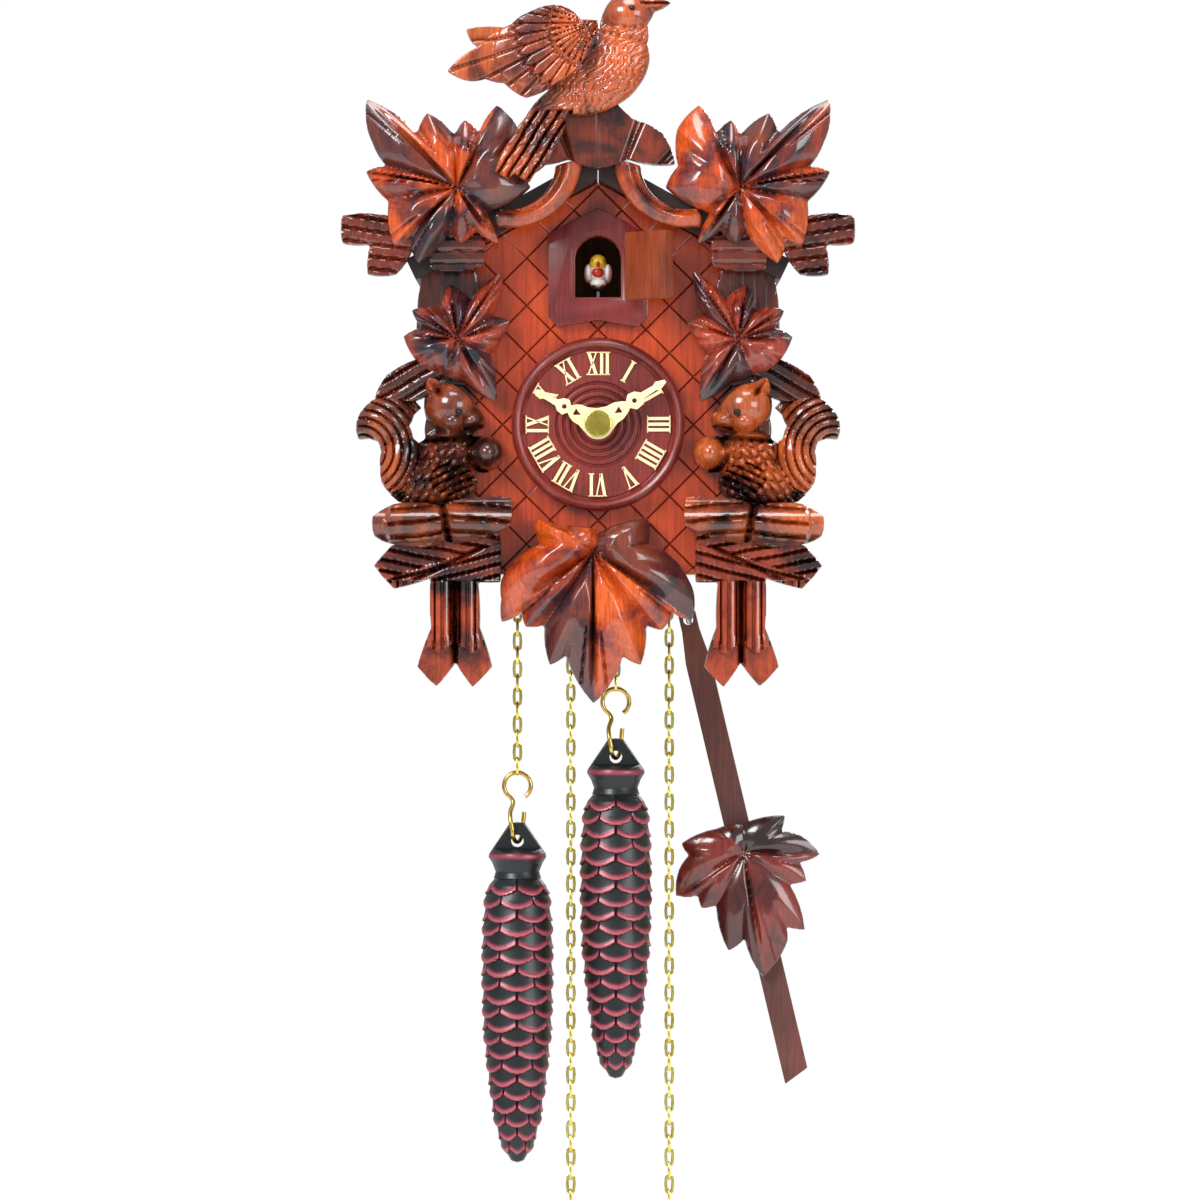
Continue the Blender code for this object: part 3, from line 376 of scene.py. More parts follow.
def curved_edges(outline, swell):
    """The outline with each long edge bowed outwards by a share of its length."""
    area = sum(a[0] * b[1] - b[0] * a[1] for a, b in zip(outline, outline[1:] + outline[:1]))
    way = 1 if area > 0 else -1
    points = []
    for a, b in zip(outline, outline[1:] + outline[:1]):
        along = Vector((b[0] - a[0], b[1] - a[1]))
        points.append(a)
        if along.length < SHORT_EDGE:
            continue
        out = Vector((along.y, -along.x)) * way * swell
        for share in (0.25, 0.5, 0.75):
            spot = Vector(a) + along * share + out * 4 * share * (1 - share)
            points.append((spot.x, spot.y))
    return points


def carve(name, outline, back, front, relief, material, swell=0.06, voxel=0.5, body="case", nodes=()):
    """A board sawn to an outline, whose front is cut down to a relief of 0 to 1 between back and front.

    The relief also gives a tone that darkens parts of the piece, 0 dark and 1 light;
    on the leaves it is painted shade that differs from facet to facet.
    """
    board = prism(name, curved_edges(list(outline), swell), 0.0, -BLANK)
    remesh = board.modifiers.new("Fine grid", "REMESH")
    remesh.mode = "VOXEL"
    remesh.voxel_size = voxel * MM
    apply_modifiers(board)
    cut = points_of(board)
    level = np.clip(-cut[:, 1] / BLANK, 0, 1)
    height, tone = relief(cut[:, 0], cut[:, 2])
    height = np.clip(height, 0.0, 1.0)
    cut[:, 1] = back + (front - back) * level * height
    place_points(board, cut)
    on_front = level > 0.6
    # painted shade: the low places, the sawn edges and, by tone, the leaves' shaded facets are kept dark
    record_depth(board, tone * np.where(on_front, height, EDGE_PAINTED_SHADE * height))
    smooth(board, 50)
    return dress(board, material, body, nodes)


def star_relief(outline, centre, edge=0.30, crease=0.42, prominence=6.0, first_tone=0.0):
    """A leaf's relief: each main lobe is two facets that meet in a crease along its vein.

    Lobes run to the outline's far corners from centre and end at its near ones, and a corner
    that stands out by less than prominence is only a tooth in a lobe's edge. Tone is painted
    shade that differs from facet to facet, some facets dark as if turned from the light.
    """
    ring = sorted((math.atan2(z - centre[1], x - centre[0]), math.hypot(x - centre[0], z - centre[1]))
                  for x, z in outline)
    angles = np.array([a for a, _ in ring])
    reach = np.array([r for _, r in ring])
    count = len(ring)
    marks = [i for i in range(count) if (reach[i] - reach[i - 1]) * (reach[i] - reach[(i + 1) % count]) > 0]
    while len(marks) > 4:
        steps = [abs(reach[marks[k]] - reach[marks[k - 1]]) for k in range(len(marks))]
        least = min(range(len(marks)), key=steps.__getitem__)
        if steps[least] > prominence:
            break
        gone = {marks[least], marks[least - 1]}
        marks = [m for m in marks if m not in gone]
    turns = angles[marks]
    kinds = np.array([1.0 if reach[m] < reach[marks[k - 1]] else 0.0 for k, m in enumerate(marks)])
    full = 2 * math.pi

    def relief(x, z):
        turn = np.arctan2(z - centre[1], x - centre[0])
        far = np.hypot(x - centre[0], z - centre[1])
        side = np.interp(turn, turns, kinds, period=full)
        limit = np.interp(turn, angles, reach, period=full)
        share = np.clip(far / limit, 0, 1)
        facet = np.searchsorted(turns, turn) % len(marks)
        swell = np.sin(math.pi * np.clip(0.14 + 0.78 * share, 0, 1))
        vein = crease * np.exp(-(side * limit * 0.6 / 1.7) ** 2) * np.clip(share * 4, 0, 1)
        notch = 0.75 * np.clip(side - 0.45, 0, 1) ** 1.4 * np.clip(1.5 - share, 0, 1)
        height = edge + (1 - edge) * swell * (1 - vein - notch) + 0.06 * np.sin(side * math.pi)
        second = 0.10 * np.maximum(1 - np.abs(side * limit * 0.6 - 4.6) / 0.9, 0) * np.clip(share * 3 - 1, 0, 1)
        # painted shade: each facet gets a light, middle or dark tone for how the light would fall on it
        shade = 0.5 + 0.5 * np.sin(facet * 2.3 + first_tone)
        tone = np.where(shade < 0.3, 0.22, np.where(shade < 0.5, 0.62, 1.0))
        return height - second, tone
    return relief


def dome(x, z, centre, radii, height, tilt=0.0):
    """A rounded boss over an ellipse, 0 outside it."""
    c, s = math.cos(math.radians(tilt)), math.sin(math.radians(tilt))
    u = ((x - centre[0]) * c + (z - centre[1]) * s) / radii[0]
    v = (-(x - centre[0]) * s + (z - centre[1]) * c) / radii[1]
    return height * np.sqrt(np.maximum(1 - u * u - v * v, 0))


def cuts(x, z, direction, spacing, depth, wander=0.0, sharp=6):
    """Parallel gouge cuts that run along a direction in degrees."""
    t = math.radians(direction)
    across = -x * math.sin(t) + z * math.cos(t)
    along = x * math.cos(t) + z * math.sin(t)
    phase = across + wander * np.sin(along * 0.35) + 0.4 * wander * np.sin(along * 1.1 + across)
    return depth * np.maximum(np.cos(2 * math.pi * phase / spacing), 0) ** sharp


def groove(x, z, a, b, width, depth):
    """A single V cut from a to b."""
    ax, az = a
    dx, dz = b[0] - ax, b[1] - az
    share = np.clip(((x - ax) * dx + (z - az) * dz) / (dx * dx + dz * dz), 0, 1)
    far = np.hypot(x - ax - share * dx, z - az - share * dz)
    return depth * np.maximum(1 - far / width, 0)


# ---- outlines of the carvings, right-hand side where there are two -------------------------
TOP_LEAF = [(83.2, 15.0), (75.7, 17.0), (80.7, 25.0), (83.2, 35.0), (82.7, 41.0), (64.7, 29.0), (61.2, 36.0),
            (51.2, 28.5), (47.7, 33.5), (42.7, 29.0), (36.2, 39.0), (28.2, 30.0), (28.7, 17.0), (24.2, 9.5),
            (39.7, 0.0), (35.7, -11.0), (43.7, -6.5), (49.2, -11.0), (53.0, -7.0), (64.2, -18.0), (67.7, -10.0),
            (72.7, -13.5), (75.2, 4.5)]
SIDE_LEAF = [(67.2, -33.8), (63.6, -40.2), (70.2, -43.4), (64.0, -54.0), (56.0, -57.5), (48.0, -60.0), (36.9, -67.0),
             (36.9, -59.0), (38.8, -49.9), (31.9, -37.9), (38.0, -36.0), (34.2, -19.8), (46.0, -30.0), (53.5, -24.5),
             (57.0, -33.0)]
BOTTOM_LEAF = [(-1.7, -175.7), (4.9, -167.9), (8.8, -158.5), (15.4, -161.9), (17.3, -147.5), (23.1, -149.2),
               (27.0, -143.1), (33.8, -145.8), (34.9, -138.2), (33.0, -131.6), (25.8, -122.2), (18.7, -117.8),
               (18.1, -109.0), (1.0, -113.5), (-14.0, -111.7), (-22.4, -109.2), (-21.5, -118.5), (-28.7, -122.7),
               (-34.9, -131.0), (-34.9, -138.2), (-34.8, -146.4), (-27.6, -143.1), (-26.0, -148.1),
               (-19.3, -147.5), (-17.4, -161.9), (-11.6, -158.3)]
PENDULUM_LEAF = [(69.2, -218.3), (67.7, -224.3), (75.1, -225.7), (82.3, -232.7), (74.7, -235.7), (77.1, -242.6),
                 (70.9, -243.6), (76.6, -260.5), (69.7, -259.5), (70.2, -265.0), (61.2, -278.4), (54.3, -264.0),
                 (48.3, -268.5), (43.8, -251.6), (38.4, -252.6), (37.1, -248.1), (28.9, -248.1), (29.9, -238.7),
                 (33.7, -233.2), (30.9, -228.7), (44.0, -223.2), (53.8, -221.3)]
SQUIRREL = [(41.2, -76.3), (40.6, -73.0), (44.0, -68.5), (48.0, -63.5), (52.5, -60.6), (56.5, -60.0), (61.0, -58.2),
            (62.6, -65.0), (62.0, -73.0), (62.3, -80.0), (68.5, -86.0), (74.0, -94.0), (75.0, -100.5), (72.0, -103.0),
            (56.5, -103.3), (43.0, -98.5), (44.5, -92.0), (40.0, -92.4), (35.6, -90.0), (33.8, -85.5), (35.6, -80.8),
            (40.5, -79.2), (46.0, -79.8), (44.5, -77.6)]
TAIL = [(63.8, -69.0), (66.0, -66.5), (69.5, -65.0), (74.5, -64.2), (80.5, -65.8), (85.5, -70.5), (87.4, -76.0),
        (86.4, -80.5), (82.5, -80.2), (79.2, -81.3), (78.3, -85.0), (78.6, -91.0), (78.0, -96.0), (75.0, -100.0),
        (68.0, -96.0), (62.5, -84.5), (66.8, -80.0), (68.2, -75.5), (66.5, -71.5)]
UPPER_LOG = [(31.5, -101.3), (40.0, -101.5), (57.5, -104.2), (73.4, -103.8), (81.2, -108.6), (80.6, -115.4),
             (74.6, -118.2), (50.9, -118.2), (31.5, -111.8)]
LOWER_LOG = [(35.2, -112.8), (50.9, -116.6), (74.1, -118.6), (80.8, -126.0), (73.6, -134.4), (60.4, -130.6),
             (60.2, -148.4), (65.2, -162.4), (58.3, -169.6), (51.4, -161.0), (45.3, -169.8), (38.2, -162.4),
             (42.6, -148.4), (43.2, -132.0), (35.2, -132.0)]
BIRD = [(26.1, 74.8), (19.5, 75.6), (16.5, 77.2), (11.5, 78.0), (6.0, 76.5), (2.5, 72.5), (0.5, 64.0), (-5.0, 58.5),
        (-12.0, 52.0), (-18.0, 43.0), (-26.0, 33.5), (-36.8, 14.2), (-32.2, 12.0), (-29.5, 13.5), (-24.5, 10.6),
        (-22.5, 14.0), (-17.0, 19.0), (-10.9, 35.0), (-2.0, 34.8), (7.5, 38.6), (14.9, 45.5), (18.3, 53.5),
        (17.6, 60.0), (17.8, 67.3), (20.0, 71.5)]
NEAR_WING = [(-2.0, 60.0), (-8.5, 70.0), (-15.0, 72.6), (-23.0, 70.6), (-31.0, 65.6), (-43.0, 57.5), (-53.5, 49.2),
             (-46.0, 45.7), (-40.0, 46.5), (-33.3, 45.0), (-25.5, 39.7), (-14.0, 45.5), (-7.5, 50.0)]
FAR_WING = [(0.0, 69.0), (-12.0, 68.5), (-20.0, 69.3), (-31.6, 66.1), (-47.2, 65.9), (-45.0, 61.0), (-42.0, 58.7),
            (-30.0, 56.0), (0.0, 58.0)]
SURROUND = [(-14.5, -39.6), (-8.0, -38.6), (0, -37.2), (8.0, -38.6), (14.5, -39.6), (18.0, -36.0), (18.0, -6.3),
            (9.0, -1.2), (0, 3.2), (-9.0, -1.2), (-18.0, -6.3), (-18.0, -36.0)]


def arc(centre, radius, start, end, steps):
    turns = [math.radians(start + (end - start) * i / steps) for i in range(steps + 1)]
    return [(centre[0] + radius * math.cos(t), centre[1] + radius * math.sin(t)) for t in turns]


def on_side(outline, side):
    return outline if side == RIGHT else mirrored(outline)


def leaf(name, outline, centre, side, back, front, material, nodes, **shape):
    """A carved leaf, whose veins and notches all run from centre."""
    outline = on_side(outline, side)
    centre = (centre[0] * side, centre[1])
    return carve(name, outline, back, front, star_relief(outline, centre, **shape), material, nodes=nodes)


def build_leaves():
    leaf("carved_bottom_leaf", BOTTOM_LEAF, (-1.7, -121.0), RIGHT, BOARD_FACE, -108.8, LEAF_WOOD, ["bottom_leaf"],
         edge=0.28)
    for side, word in SIDES:
        leaf("carved_top_leaf_" + word, TOP_LEAF, (50.5, 9.0), side, LEAF_BACK, -119.3, LEAF_WOOD,
             ["top_leaf_" + word], edge=0.3)
        build_stubs(word, side)
        leaf("carved_side_leaf_" + word, SIDE_LEAF, (50.5, -44.5), side, -94.0, -104.8, DARK_LEAF_WOOD,
             ["side_leaf_" + word], edge=0.3, prominence=4.0, first_tone=1.2)


def build_stubs(word, side):
    """Sawn branch ends that stand out behind the leaves, and two dark boards, behind the top leaf and behind the side
    leaf, that are painted shade.
    """
    branch = [(70.0, -2.0), (91.6, -0.6), (91.6, -10.6), (81.4, -10.9), (82.6, -21.8), (72.5, -21.8), (66.0, -12.0)]
    shadow = [(41.0, -8.0), (60.0, -8.0), (60.0, -20.0), (41.0, -19.0)]
    lower = [(60.0, -50.0), (76.2, -57.4), (80.4, -65.4), (66.0, -66.8), (55.0, -60.0)]
    upright = [(44.0, -19.5), (63.5, -20.0), (63.0, -60.0), (43.0, -60.0)]
    # the inner and back pieces are painted shade: dark boards set where the leaves' shade falls
    for part, outline, back, front, way, deep in (
            ("top", branch, LEAF_BACK, -113.0, 8, 0.22), ("inner", shadow, LEAF_BACK, -111.0, 0, 0.14),
            ("lower", lower, BOARD_FACE, -101.0, -30, 0.22), ("back", upright, BOARD_FACE, -94.5, 90, 0.08)):
        def bark(x, z, way=way, deep=deep):
            return 0.92 - cuts(x * side, z, way, 4.4, deep, 0.1, 3) - cuts(x * side, z, way, 1.9, 0.04, 0.1), 0.8
        carve(f"branch_{part}_{word}", on_side(outline, side), back, front, bark, BRANCH_AND_SHADE_WOOD, voxel=0.6)


def squirrel_relief(side):
    """A squirrel that sits up with a nut: rounded forms run into each other, with tufts cut into its fur."""
    def relief(x, z):
        x = x * side
        head = dome(x, z, (53.0, -68.5), (11.0, 10.5), 0.86)
        ear = dome(x, z, (59.0, -61.0), (4.4, 5.2), 0.80, 20)
        muzzle = dome(x, z, (45.6, -73.6), (5.8, 4.4), 0.80, -20)
        cheek = dome(x, z, (52.5, -74.0), (6.5, 5.5), 0.90)
        chest = dome(x, z, (54.0, -88.0), (12.5, 13.0), 0.84)
        haunch = dome(x, z, (59.5, -96.5), (12.5, 9.5), 1.0, -15)
        foot = dome(x, z, (49.5, -99.8), (9.0, 4.4), 0.80, -20)
        arm = dome(x, z, (48.0, -85.0), (7.0, 3.4), 0.96, 12)
        nut = dome(x, z, (40.0, -85.4), (6.6, 7.0), 0.98)
        height = np.maximum.reduce([head, ear, muzzle, cheek, chest, haunch, foot, arm, nut, np.full_like(x, 0.34)])
        tufts = np.abs(np.sin((x + 0.6 * z) * 0.95) * np.sin((z - 0.35 * x) * 0.8 + 0.8 * np.sin(x * 0.7)))
        fur = np.where(z < -80.5, 0.15 * (1 - tufts) ** 2, 0.0) * (x > 46.5)
        toes = cuts(x, z, -24, 2.6, 0.2, 0.2, 2) * ((x - 52.5) ** 2 / 60 + (z + 95.0) ** 2 / 36 < 1)
        collar = groove(x, z, (46.0, -80.2), (63.0, -81.2), 1.4, 0.3)
        inner_ear = groove(x, z, (57.0, -64.0), (60.0, -59.5), 1.5, 0.22)
        mouth = groove(x, z, (40.8, -75.4), (48.0, -76.6), 0.8, 0.3)
        round_nut = 0.25 * np.exp(-((np.hypot(x - 40.0, z + 85.4) - 6.4) / 0.8) ** 2) * (x > 40)
        tone = np.where((height < 0.5) | (z < -100.5), 0.45, 1.0)
        return height - fur - toes - collar - inner_ear - mouth - round_nut, tone
    return relief


def tail_relief(side):
    """A bushy tail, whose cuts sweep up it and curl outwards at its tip."""
    def relief(x, z):
        x = x * side
        crest = np.maximum(dome(x, z, (77.0, -73.5), (12.5, 10.5), 0.98, -20),
                           dome(x, z, (71.5, -88.5), (8.5, 17.0), 0.95, 12))
        bend = np.hypot(x - 85.0, z + 84.5)
        sweep = np.maximum(np.cos(2 * math.pi * bend / 2.9), 0) ** 3
        return np.maximum(crest, 0.35) - 0.20 * sweep, np.where(x > 82.5, 0.55, 1.0)
    return relief


def log_relief(side, foot):
    """Split logs with straight draw-knife cuts: a crossed pair on two uprights, or the perch on top."""
    def relief(x, z):
        x = x * side
        if not foot:
            crest = 0.62 + 0.38 * np.sin(np.clip((z + 118.2) / 15.5, 0, 1) * math.pi)
            lines = np.where(x > 56.0, cuts(x, z, -6, 4.9, 0.15, 0.15, 3), cuts(x, z, 5, 4.9, 0.15, 0.15, 3))
            split = groove(x, z, (56.0, -103.5), (53.5, -117.5), 1.5, 0.35)
            sawn = np.clip((x - 76.0 + 0.25 * np.abs(z + 111.5)) / 1.0, 0, 1)
            return crest - lines * (1 - sawn) - split - 0.28 * sawn, 1.0 - 0.55 * (z < -115.0)
        middle = np.where(x > 51.6, 56.0, 47.0)
        flare = 1 + np.clip((-150.0 - z) / 45.0, 0, 1)
        upright = 0.72 + 0.28 * np.cos(np.clip((x - middle) / (6.2 * flare), -1, 1) * math.pi / 2)
        upright = upright - 0.20 * np.maximum(np.cos(2 * math.pi * (x - middle) / (2.7 * flare)), 0) ** 4
        sawn = np.clip((-z - 157.5 + 0.7 * np.abs(x - middle - np.sign(x - 51.6) * 1.5)) / 0.8, 0, 1)
        upright = np.where(sawn > 0.5, 0.66, upright) - groove(x, z, (51.6, -132.0), (51.6, -163.0), 1.3, 0.5)
        falling = 0.9 - cuts(x, z, -14, 3.9, 0.26, 0.1, 3)
        rising = 0.86 - cuts(x, z, 11, 3.9, 0.26, 0.1, 3)
        crossing = np.where((z + 124.0) * 0.9 > (x - 55.0) * -0.28, rising, falling)
        crossing = crossing - groove(x, z, (42.0, -119.5), (66.0, -131.0), 1.0, 0.3)
        below = z < -131.5
        tone = np.where(below, np.where(sawn > 0.5, 0.95, 0.8), 0.58)
        return np.where(below, upright, crossing), tone
    return relief


def build_squirrels():
    for side, word in SIDES:
        carve("carved_squirrel_" + word, on_side(SQUIRREL, side), BOARD_FACE, -109.3, squirrel_relief(side), FUR_WOOD,
              nodes=["squirrel_" + word], voxel=0.45)
        carve("carved_tail_" + word, on_side(TAIL, side), -91.4, -104.4, tail_relief(side), FUR_WOOD, voxel=0.5)
        carve("carved_upper_log_" + word, on_side(UPPER_LOG, side), -91.4, -110.8, log_relief(side, False), FUR_WOOD,
              nodes=["logs_" + word])
        carve("carved_lower_log_" + word, on_side(LOWER_LOG, side), BOARD_FACE, -103.3, log_relief(side, True),
              FOOT_WOOD, swell=0.02)
        ball("squirrel_eye_" + word, (49.8 * side, -106.4, -71.0), (1.25, 1.25, 1.25), BEAD, "case",
             segments=20, rings=12)


def feathers(x, z, origin, spacing, depth, rows):
    """Long flight feathers that fan out from origin, with rows of short ones near it."""
    far = np.hypot(x - origin[0], z - origin[1])
    turn = np.degrees(np.arctan2(z - origin[1], x - origin[0]))
    fan = np.maximum(np.cos(2 * math.pi * turn / spacing), 0) ** 5
    bands = sum(np.exp(-((far - r + 1.5 * np.cos(2 * math.pi * turn / spacing)) / 0.8) ** 2) for r in rows)
    return depth * (fan + 0.9 * bands)


def bird_relief(x, z):
    """The perched bird without its wings: downy breast, collar, beak and long tail feathers."""
    head = dome(x, z, (10.5, 70.5), (9.8, 8.2), 0.95)
    beak = dome(x, z, (20.0, 74.0), (7.5, 2.8), 0.62, 5)
    body = dome(x, z, (5.5, 52.0), (13.5, 22.0), 1.0, -32)
    rump = dome(x, z, (-9.0, 42.5), (17.0, 11.0), 0.88, 50)
    tail = 0.58 - cuts(x, z, 58, 3.4, 0.26, 0.1, 3)
    height = np.maximum.reduce([head, beak, body, rump, np.full_like(x, 0.46)])
    height = np.where((z < 36.0) & (x < -9.0), np.maximum(tail, 0.2), height)
    down = cuts(x, z, 50, 2.4, 0.06, 1.2, 3) * (z < 66)
    band = groove(x, z, (1.0, 64.0), (17.0, 60.0), 1.2, 0.1)
    mouth = groove(x, z, (15.5, 74.2), (26.0, 74.6), 0.7, 0.25)
    return height - down - band - mouth, np.where((z > 66) & (x < 9.0), 0.6, 1.0)


def near_wing_relief(x, z):
    swell = 0.55 + 0.45 * np.clip(dome(x, z, (-14.0, 60.0), (24.0, 16.0), 1.0, 20), 0, 1)
    return swell - feathers(x, z, (-2.0, 66.0), 9.0, 0.22, (15.0, 27.0)), 1.0


def far_wing_relief(x, z):
    return 0.8 - feathers(x, z, (2.0, 66.0), 7.0, 0.25, (20.0,)), 0.8


def build_bird():
    carve("carved_bird", BIRD, -114.0, -126.3, bird_relief, BIRD_WOOD, nodes=["top_bird"], voxel=0.45)
    carve("carved_near_wing", NEAR_WING, -126.6, -132.3, near_wing_relief, BIRD_WOOD,
          nodes=["top_bird_near_wing"], voxel=0.45)
    carve("carved_far_wing", FAR_WING, -108.2, -113.4, far_wing_relief, BIRD_WOOD, voxel=0.5)
    ball("bird_eye", (12.0, -124.9, 72.0), (1.2, 1.2, 1.2), BEAD, "case", segments=20, rings=12)


def vine_outline(side):
    """One vine: a tapered arc from the middle of the crest down to the top leaf."""
    outer = arc((31.0, 20.5), 25.4, 184, 276, 14)
    inner = arc((31.8, 18.2), 16.6, 282, 184, 14)
    return on_side([*outer, (36.8, -5.0), (37.2, -2.4), *inner], side)


def build_crown():
    crest = [(-27.6, 17.6), (-10.4, 19.5), (0, 15.8), (10.4, 19.5), (27.6, 17.6), (23.5, 28.3), (12.0, 34.0),
             (3.5, 41.5), (-3.5, 41.5), (-12.0, 34.0), (-23.5, 28.3)]

    def crest_relief(x, z):
        fan = np.degrees(np.arctan2(z + 6.0, np.abs(x)))
        lines = np.maximum(np.cos(2 * math.pi * fan / 23.0), 0) ** 8
        return 0.9 - 0.22 * lines, 0.55
    carve("carved_crest", crest, LEAF_BACK, -113.3, crest_relief, CROWN_WOOD, nodes=["crown_crest"], voxel=0.5)
    for side, word in SIDES:
        def vine(x, z, side=side):
            middle = np.hypot(x * side - 31.2, z - 19.0)
            ridge = np.maximum(1 - np.abs(middle - 20.6) / 5.4, 0)
            line = 0.16 * np.exp(-((middle - 18.6) / 0.5) ** 2)
            return 0.5 + 0.5 * ridge - line, 1.0
        carve("carved_vine_" + word, vine_outline(side), -106.0, -113.4, vine, VINE_WOOD, voxel=0.45)


# ---- case front, surround and dial ---------------------------------------------------------
LATTICE_PITCH, LATTICE_HALF, LATTICE_DEPTH = 12.2, 0.42, 0.5
LATTICE_REACH = 14             # lines to each side of the dial's middle, enough to cross the board
LATTICE_RIM = [(-60.0, -129.0), (60.0, -129.0), (60.0, -20.6), (0.0, 12.6), (-60.0, -20.6)]
RIM_CLEARANCE = 24.0           # twice the least area, in square mm, of a point's triangle on a rim edge


def build_case_front():
    """The front board with its scribed diamond lattice: each line is a V cut in the board's face."""
    board = bpy.data.objects.new("scribed_case_front", NODES["case_front"].data.copy())
    bpy.context.scene.collection.objects.link(board)
    make_active(board)
    bpy.ops.object.mode_set(mode="EDIT")
    bpy.ops.mesh.select_all(action="SELECT")
    bpy.ops.mesh.remove_doubles(threshold=0.000002)
    bpy.ops.mesh.dissolve_limited(angle_limit=math.radians(1))
    middles = []
    for way in (1, -1):
        normal = Vector((way, 0, 1)).normalized()
        for step in range(-LATTICE_REACH, LATTICE_REACH + 1):
            middle = normal * (step * LATTICE_PITCH * MM) + Vector((0, 0, DIAL[1] * MM))
            middles.append((middle, normal))
            for offset in (-LATTICE_HALF, 0.0, LATTICE_HALF):
                bpy.ops.mesh.select_all(action="SELECT")
                bpy.ops.mesh.bisect(plane_co=middle + normal * offset * MM, plane_no=normal)
    bpy.ops.object.mode_set(mode="OBJECT")
    points = points_of(board)
    face_y = points[:, 1].min()
    cut = np.zeros(len(points), bool)
    for middle, normal in middles:
        far = (points - np.array(middle) / MM) @ np.array(normal)
        cut |= np.abs(far) < 0.02
    inside = np.ones(len(points), bool)
    for (ax, az), (bx, bz) in zip(LATTICE_RIM, LATTICE_RIM[1:] + LATTICE_RIM[:1]):
        inside &= (bx - ax) * (points[:, 2] - az) - (bz - az) * (points[:, 0] - ax) > RIM_CLEARANCE
    sunk = cut & inside & (np.abs(points[:, 1] - face_y) < 0.01)
    points[sunk, 1] += LATTICE_DEPTH
    place_points(board, points)
    record_depth(board, np.where(sunk, 0.0, 1.0))
    return dress(board, CASE_WOOD, nodes=["case_front"])


DOOR_HALF, DOOR_SILL, DOOR_SPRING = 8.3, -29.0, -15.0
RABBET, RABBET_FLOOR, SURROUND_BACK = 1.3, -93.6, -85.0


def grown_arch(grow):
    """The doorway's outline with its sill, its jambs and its arch each moved out by grow."""
    hole = [(-DOOR_HALF, DOOR_SILL), (DOOR_HALF, DOOR_SILL), *arc((0.0, DOOR_SPRING), DOOR_HALF, 0, 180, 24)]
    made = []
    for x, z in hole:
        wide = 1.0 if z < DOOR_SPRING else abs(x) / DOOR_HALF
        rise = grow if z > DOOR_SPRING else -grow if z == DOOR_SILL else 0.0
        made.append((x + math.copysign(grow * wide, x), z + rise))
    return made


def build_surround():
    """The sawn frame round the cuckoo's door, with a rabbet cut round its arch."""
    board = prism("moulded_door_surround", SURROUND, BOARD_FACE, -94.3)
    for grow, deep in ((0.0, SURROUND_BACK), (RABBET, RABBET_FLOOR)):
        cutter = prism("arch_cutter", grown_arch(grow), deep, -97.0)
        cut = board.modifiers.new("Arch", "BOOLEAN")
        cut.operation = "DIFFERENCE"
        cut.object = cutter
        apply_modifiers(board)
        bpy.data.objects.remove(cutter)
    ease_edges(board, 0.35)
    apply_modifiers(board)
    smooth(board, 30)
    dress(board, CHERRY, nodes=["door_surround"])


DIAL_RADIUS = 31.3
DIAL_BORE = 4.0
RINGS, RING_PITCH, OUTER_RING = 4, 2.7, 15.2


def build_dial():
    """A dial turned on the lathe: a bead, a cove, a flat for the numerals and rings cut at the middle."""
    profile = [(DIAL_BORE, BOARD_FACE), (DIAL_RADIUS, BOARD_FACE), (DIAL_RADIUS, -95.6), (31.0, -96.8),
               (30.3, -97.9), (29.3, -98.4), (28.4, -98.1), (27.9, -97.3), (27.4, -96.4), (26.8, -96.1),
               (26.4, -96.5), (15.6, -96.9)]
    for ring in range(RINGS):
        edge = OUTER_RING - RING_PITCH * ring
        profile += [(edge, -96.0), (edge - 0.5, -95.9), (edge - 0.9, -96.8), (edge - 1.5, -97.0), (edge - 2.2, -96.8)]
    profile += [(DIAL_BORE, -96.4)]
    count = len(profile)
    dial = mesh_object("turned_dial", [(r, y, 0) for r, y in profile], [(i, (i + 1) % count) for i in range(count)],
                       [])
    make_active(dial)
    bpy.ops.object.mode_set(mode="EDIT")
    bpy.ops.mesh.select_all(action="SELECT")
    bpy.ops.mesh.spin(steps=120, angle=2 * math.pi, center=(0, 0, 0), axis=(0, 1, 0))
    bpy.ops.object.mode_set(mode="OBJECT")
    turn_outward(dial)
    dial.location = (DIAL[0] * MM, 0, DIAL[1] * MM)
    settle(dial)
    smooth(dial, 35)
    dress(dial, DIAL_WOOD, nodes=["dial"])


NUMERALS = ["XII", "I", "II", "III", "IIII", "V", "VI", "VII", "VIII", "IX", "X", "XI"]
NUMERAL_RADIUS, NUMERAL_HEIGHT, NUMERAL_THICKNESS = 21.9, 8.0, 0.7
THICK, THIN, SERIF = 1.15, 0.5, 0.42       # widths of a numeral's strokes
LETTER_WIDTHS, LETTER_GAP = {"I": 1.5, "V": 4.3, "X": 4.1}, 0.55


def numeral_strokes(text):
    """The strokes of a Roman numeral as (start, end, width), with serifs on each letter, centred on x = 0."""
    total = sum(LETTER_WIDTHS[c] for c in text) + LETTER_GAP * (len(text) - 1)
    x, strokes, half = -total / 2, [], NUMERAL_HEIGHT / 2
    for letter in text:
        w = LETTER_WIDTHS[letter]
        middle = x + w / 2
        if letter == "I":
            strokes.append(((middle, -half), (middle, half), THICK))
        elif letter == "V":
            strokes.append(((x + 0.75, half), (middle, -half), THICK))
            strokes.append(((x + w - 0.6, half), (middle, -half), THIN))
        else:
            strokes.append(((x + 0.7, half), (x + w - 0.7, -half), THICK))
            strokes.append(((x + w - 0.6, half), (x + 0.6, -half), THIN))
        ends = (half, -half) if letter != "V" else (half,)
        for z in ends:
            reach = 0.3 if letter == "I" else 0.1
            strokes.append(((x - reach, z), (x + w + reach, z), SERIF))
        x += w + LETTER_GAP
    return strokes


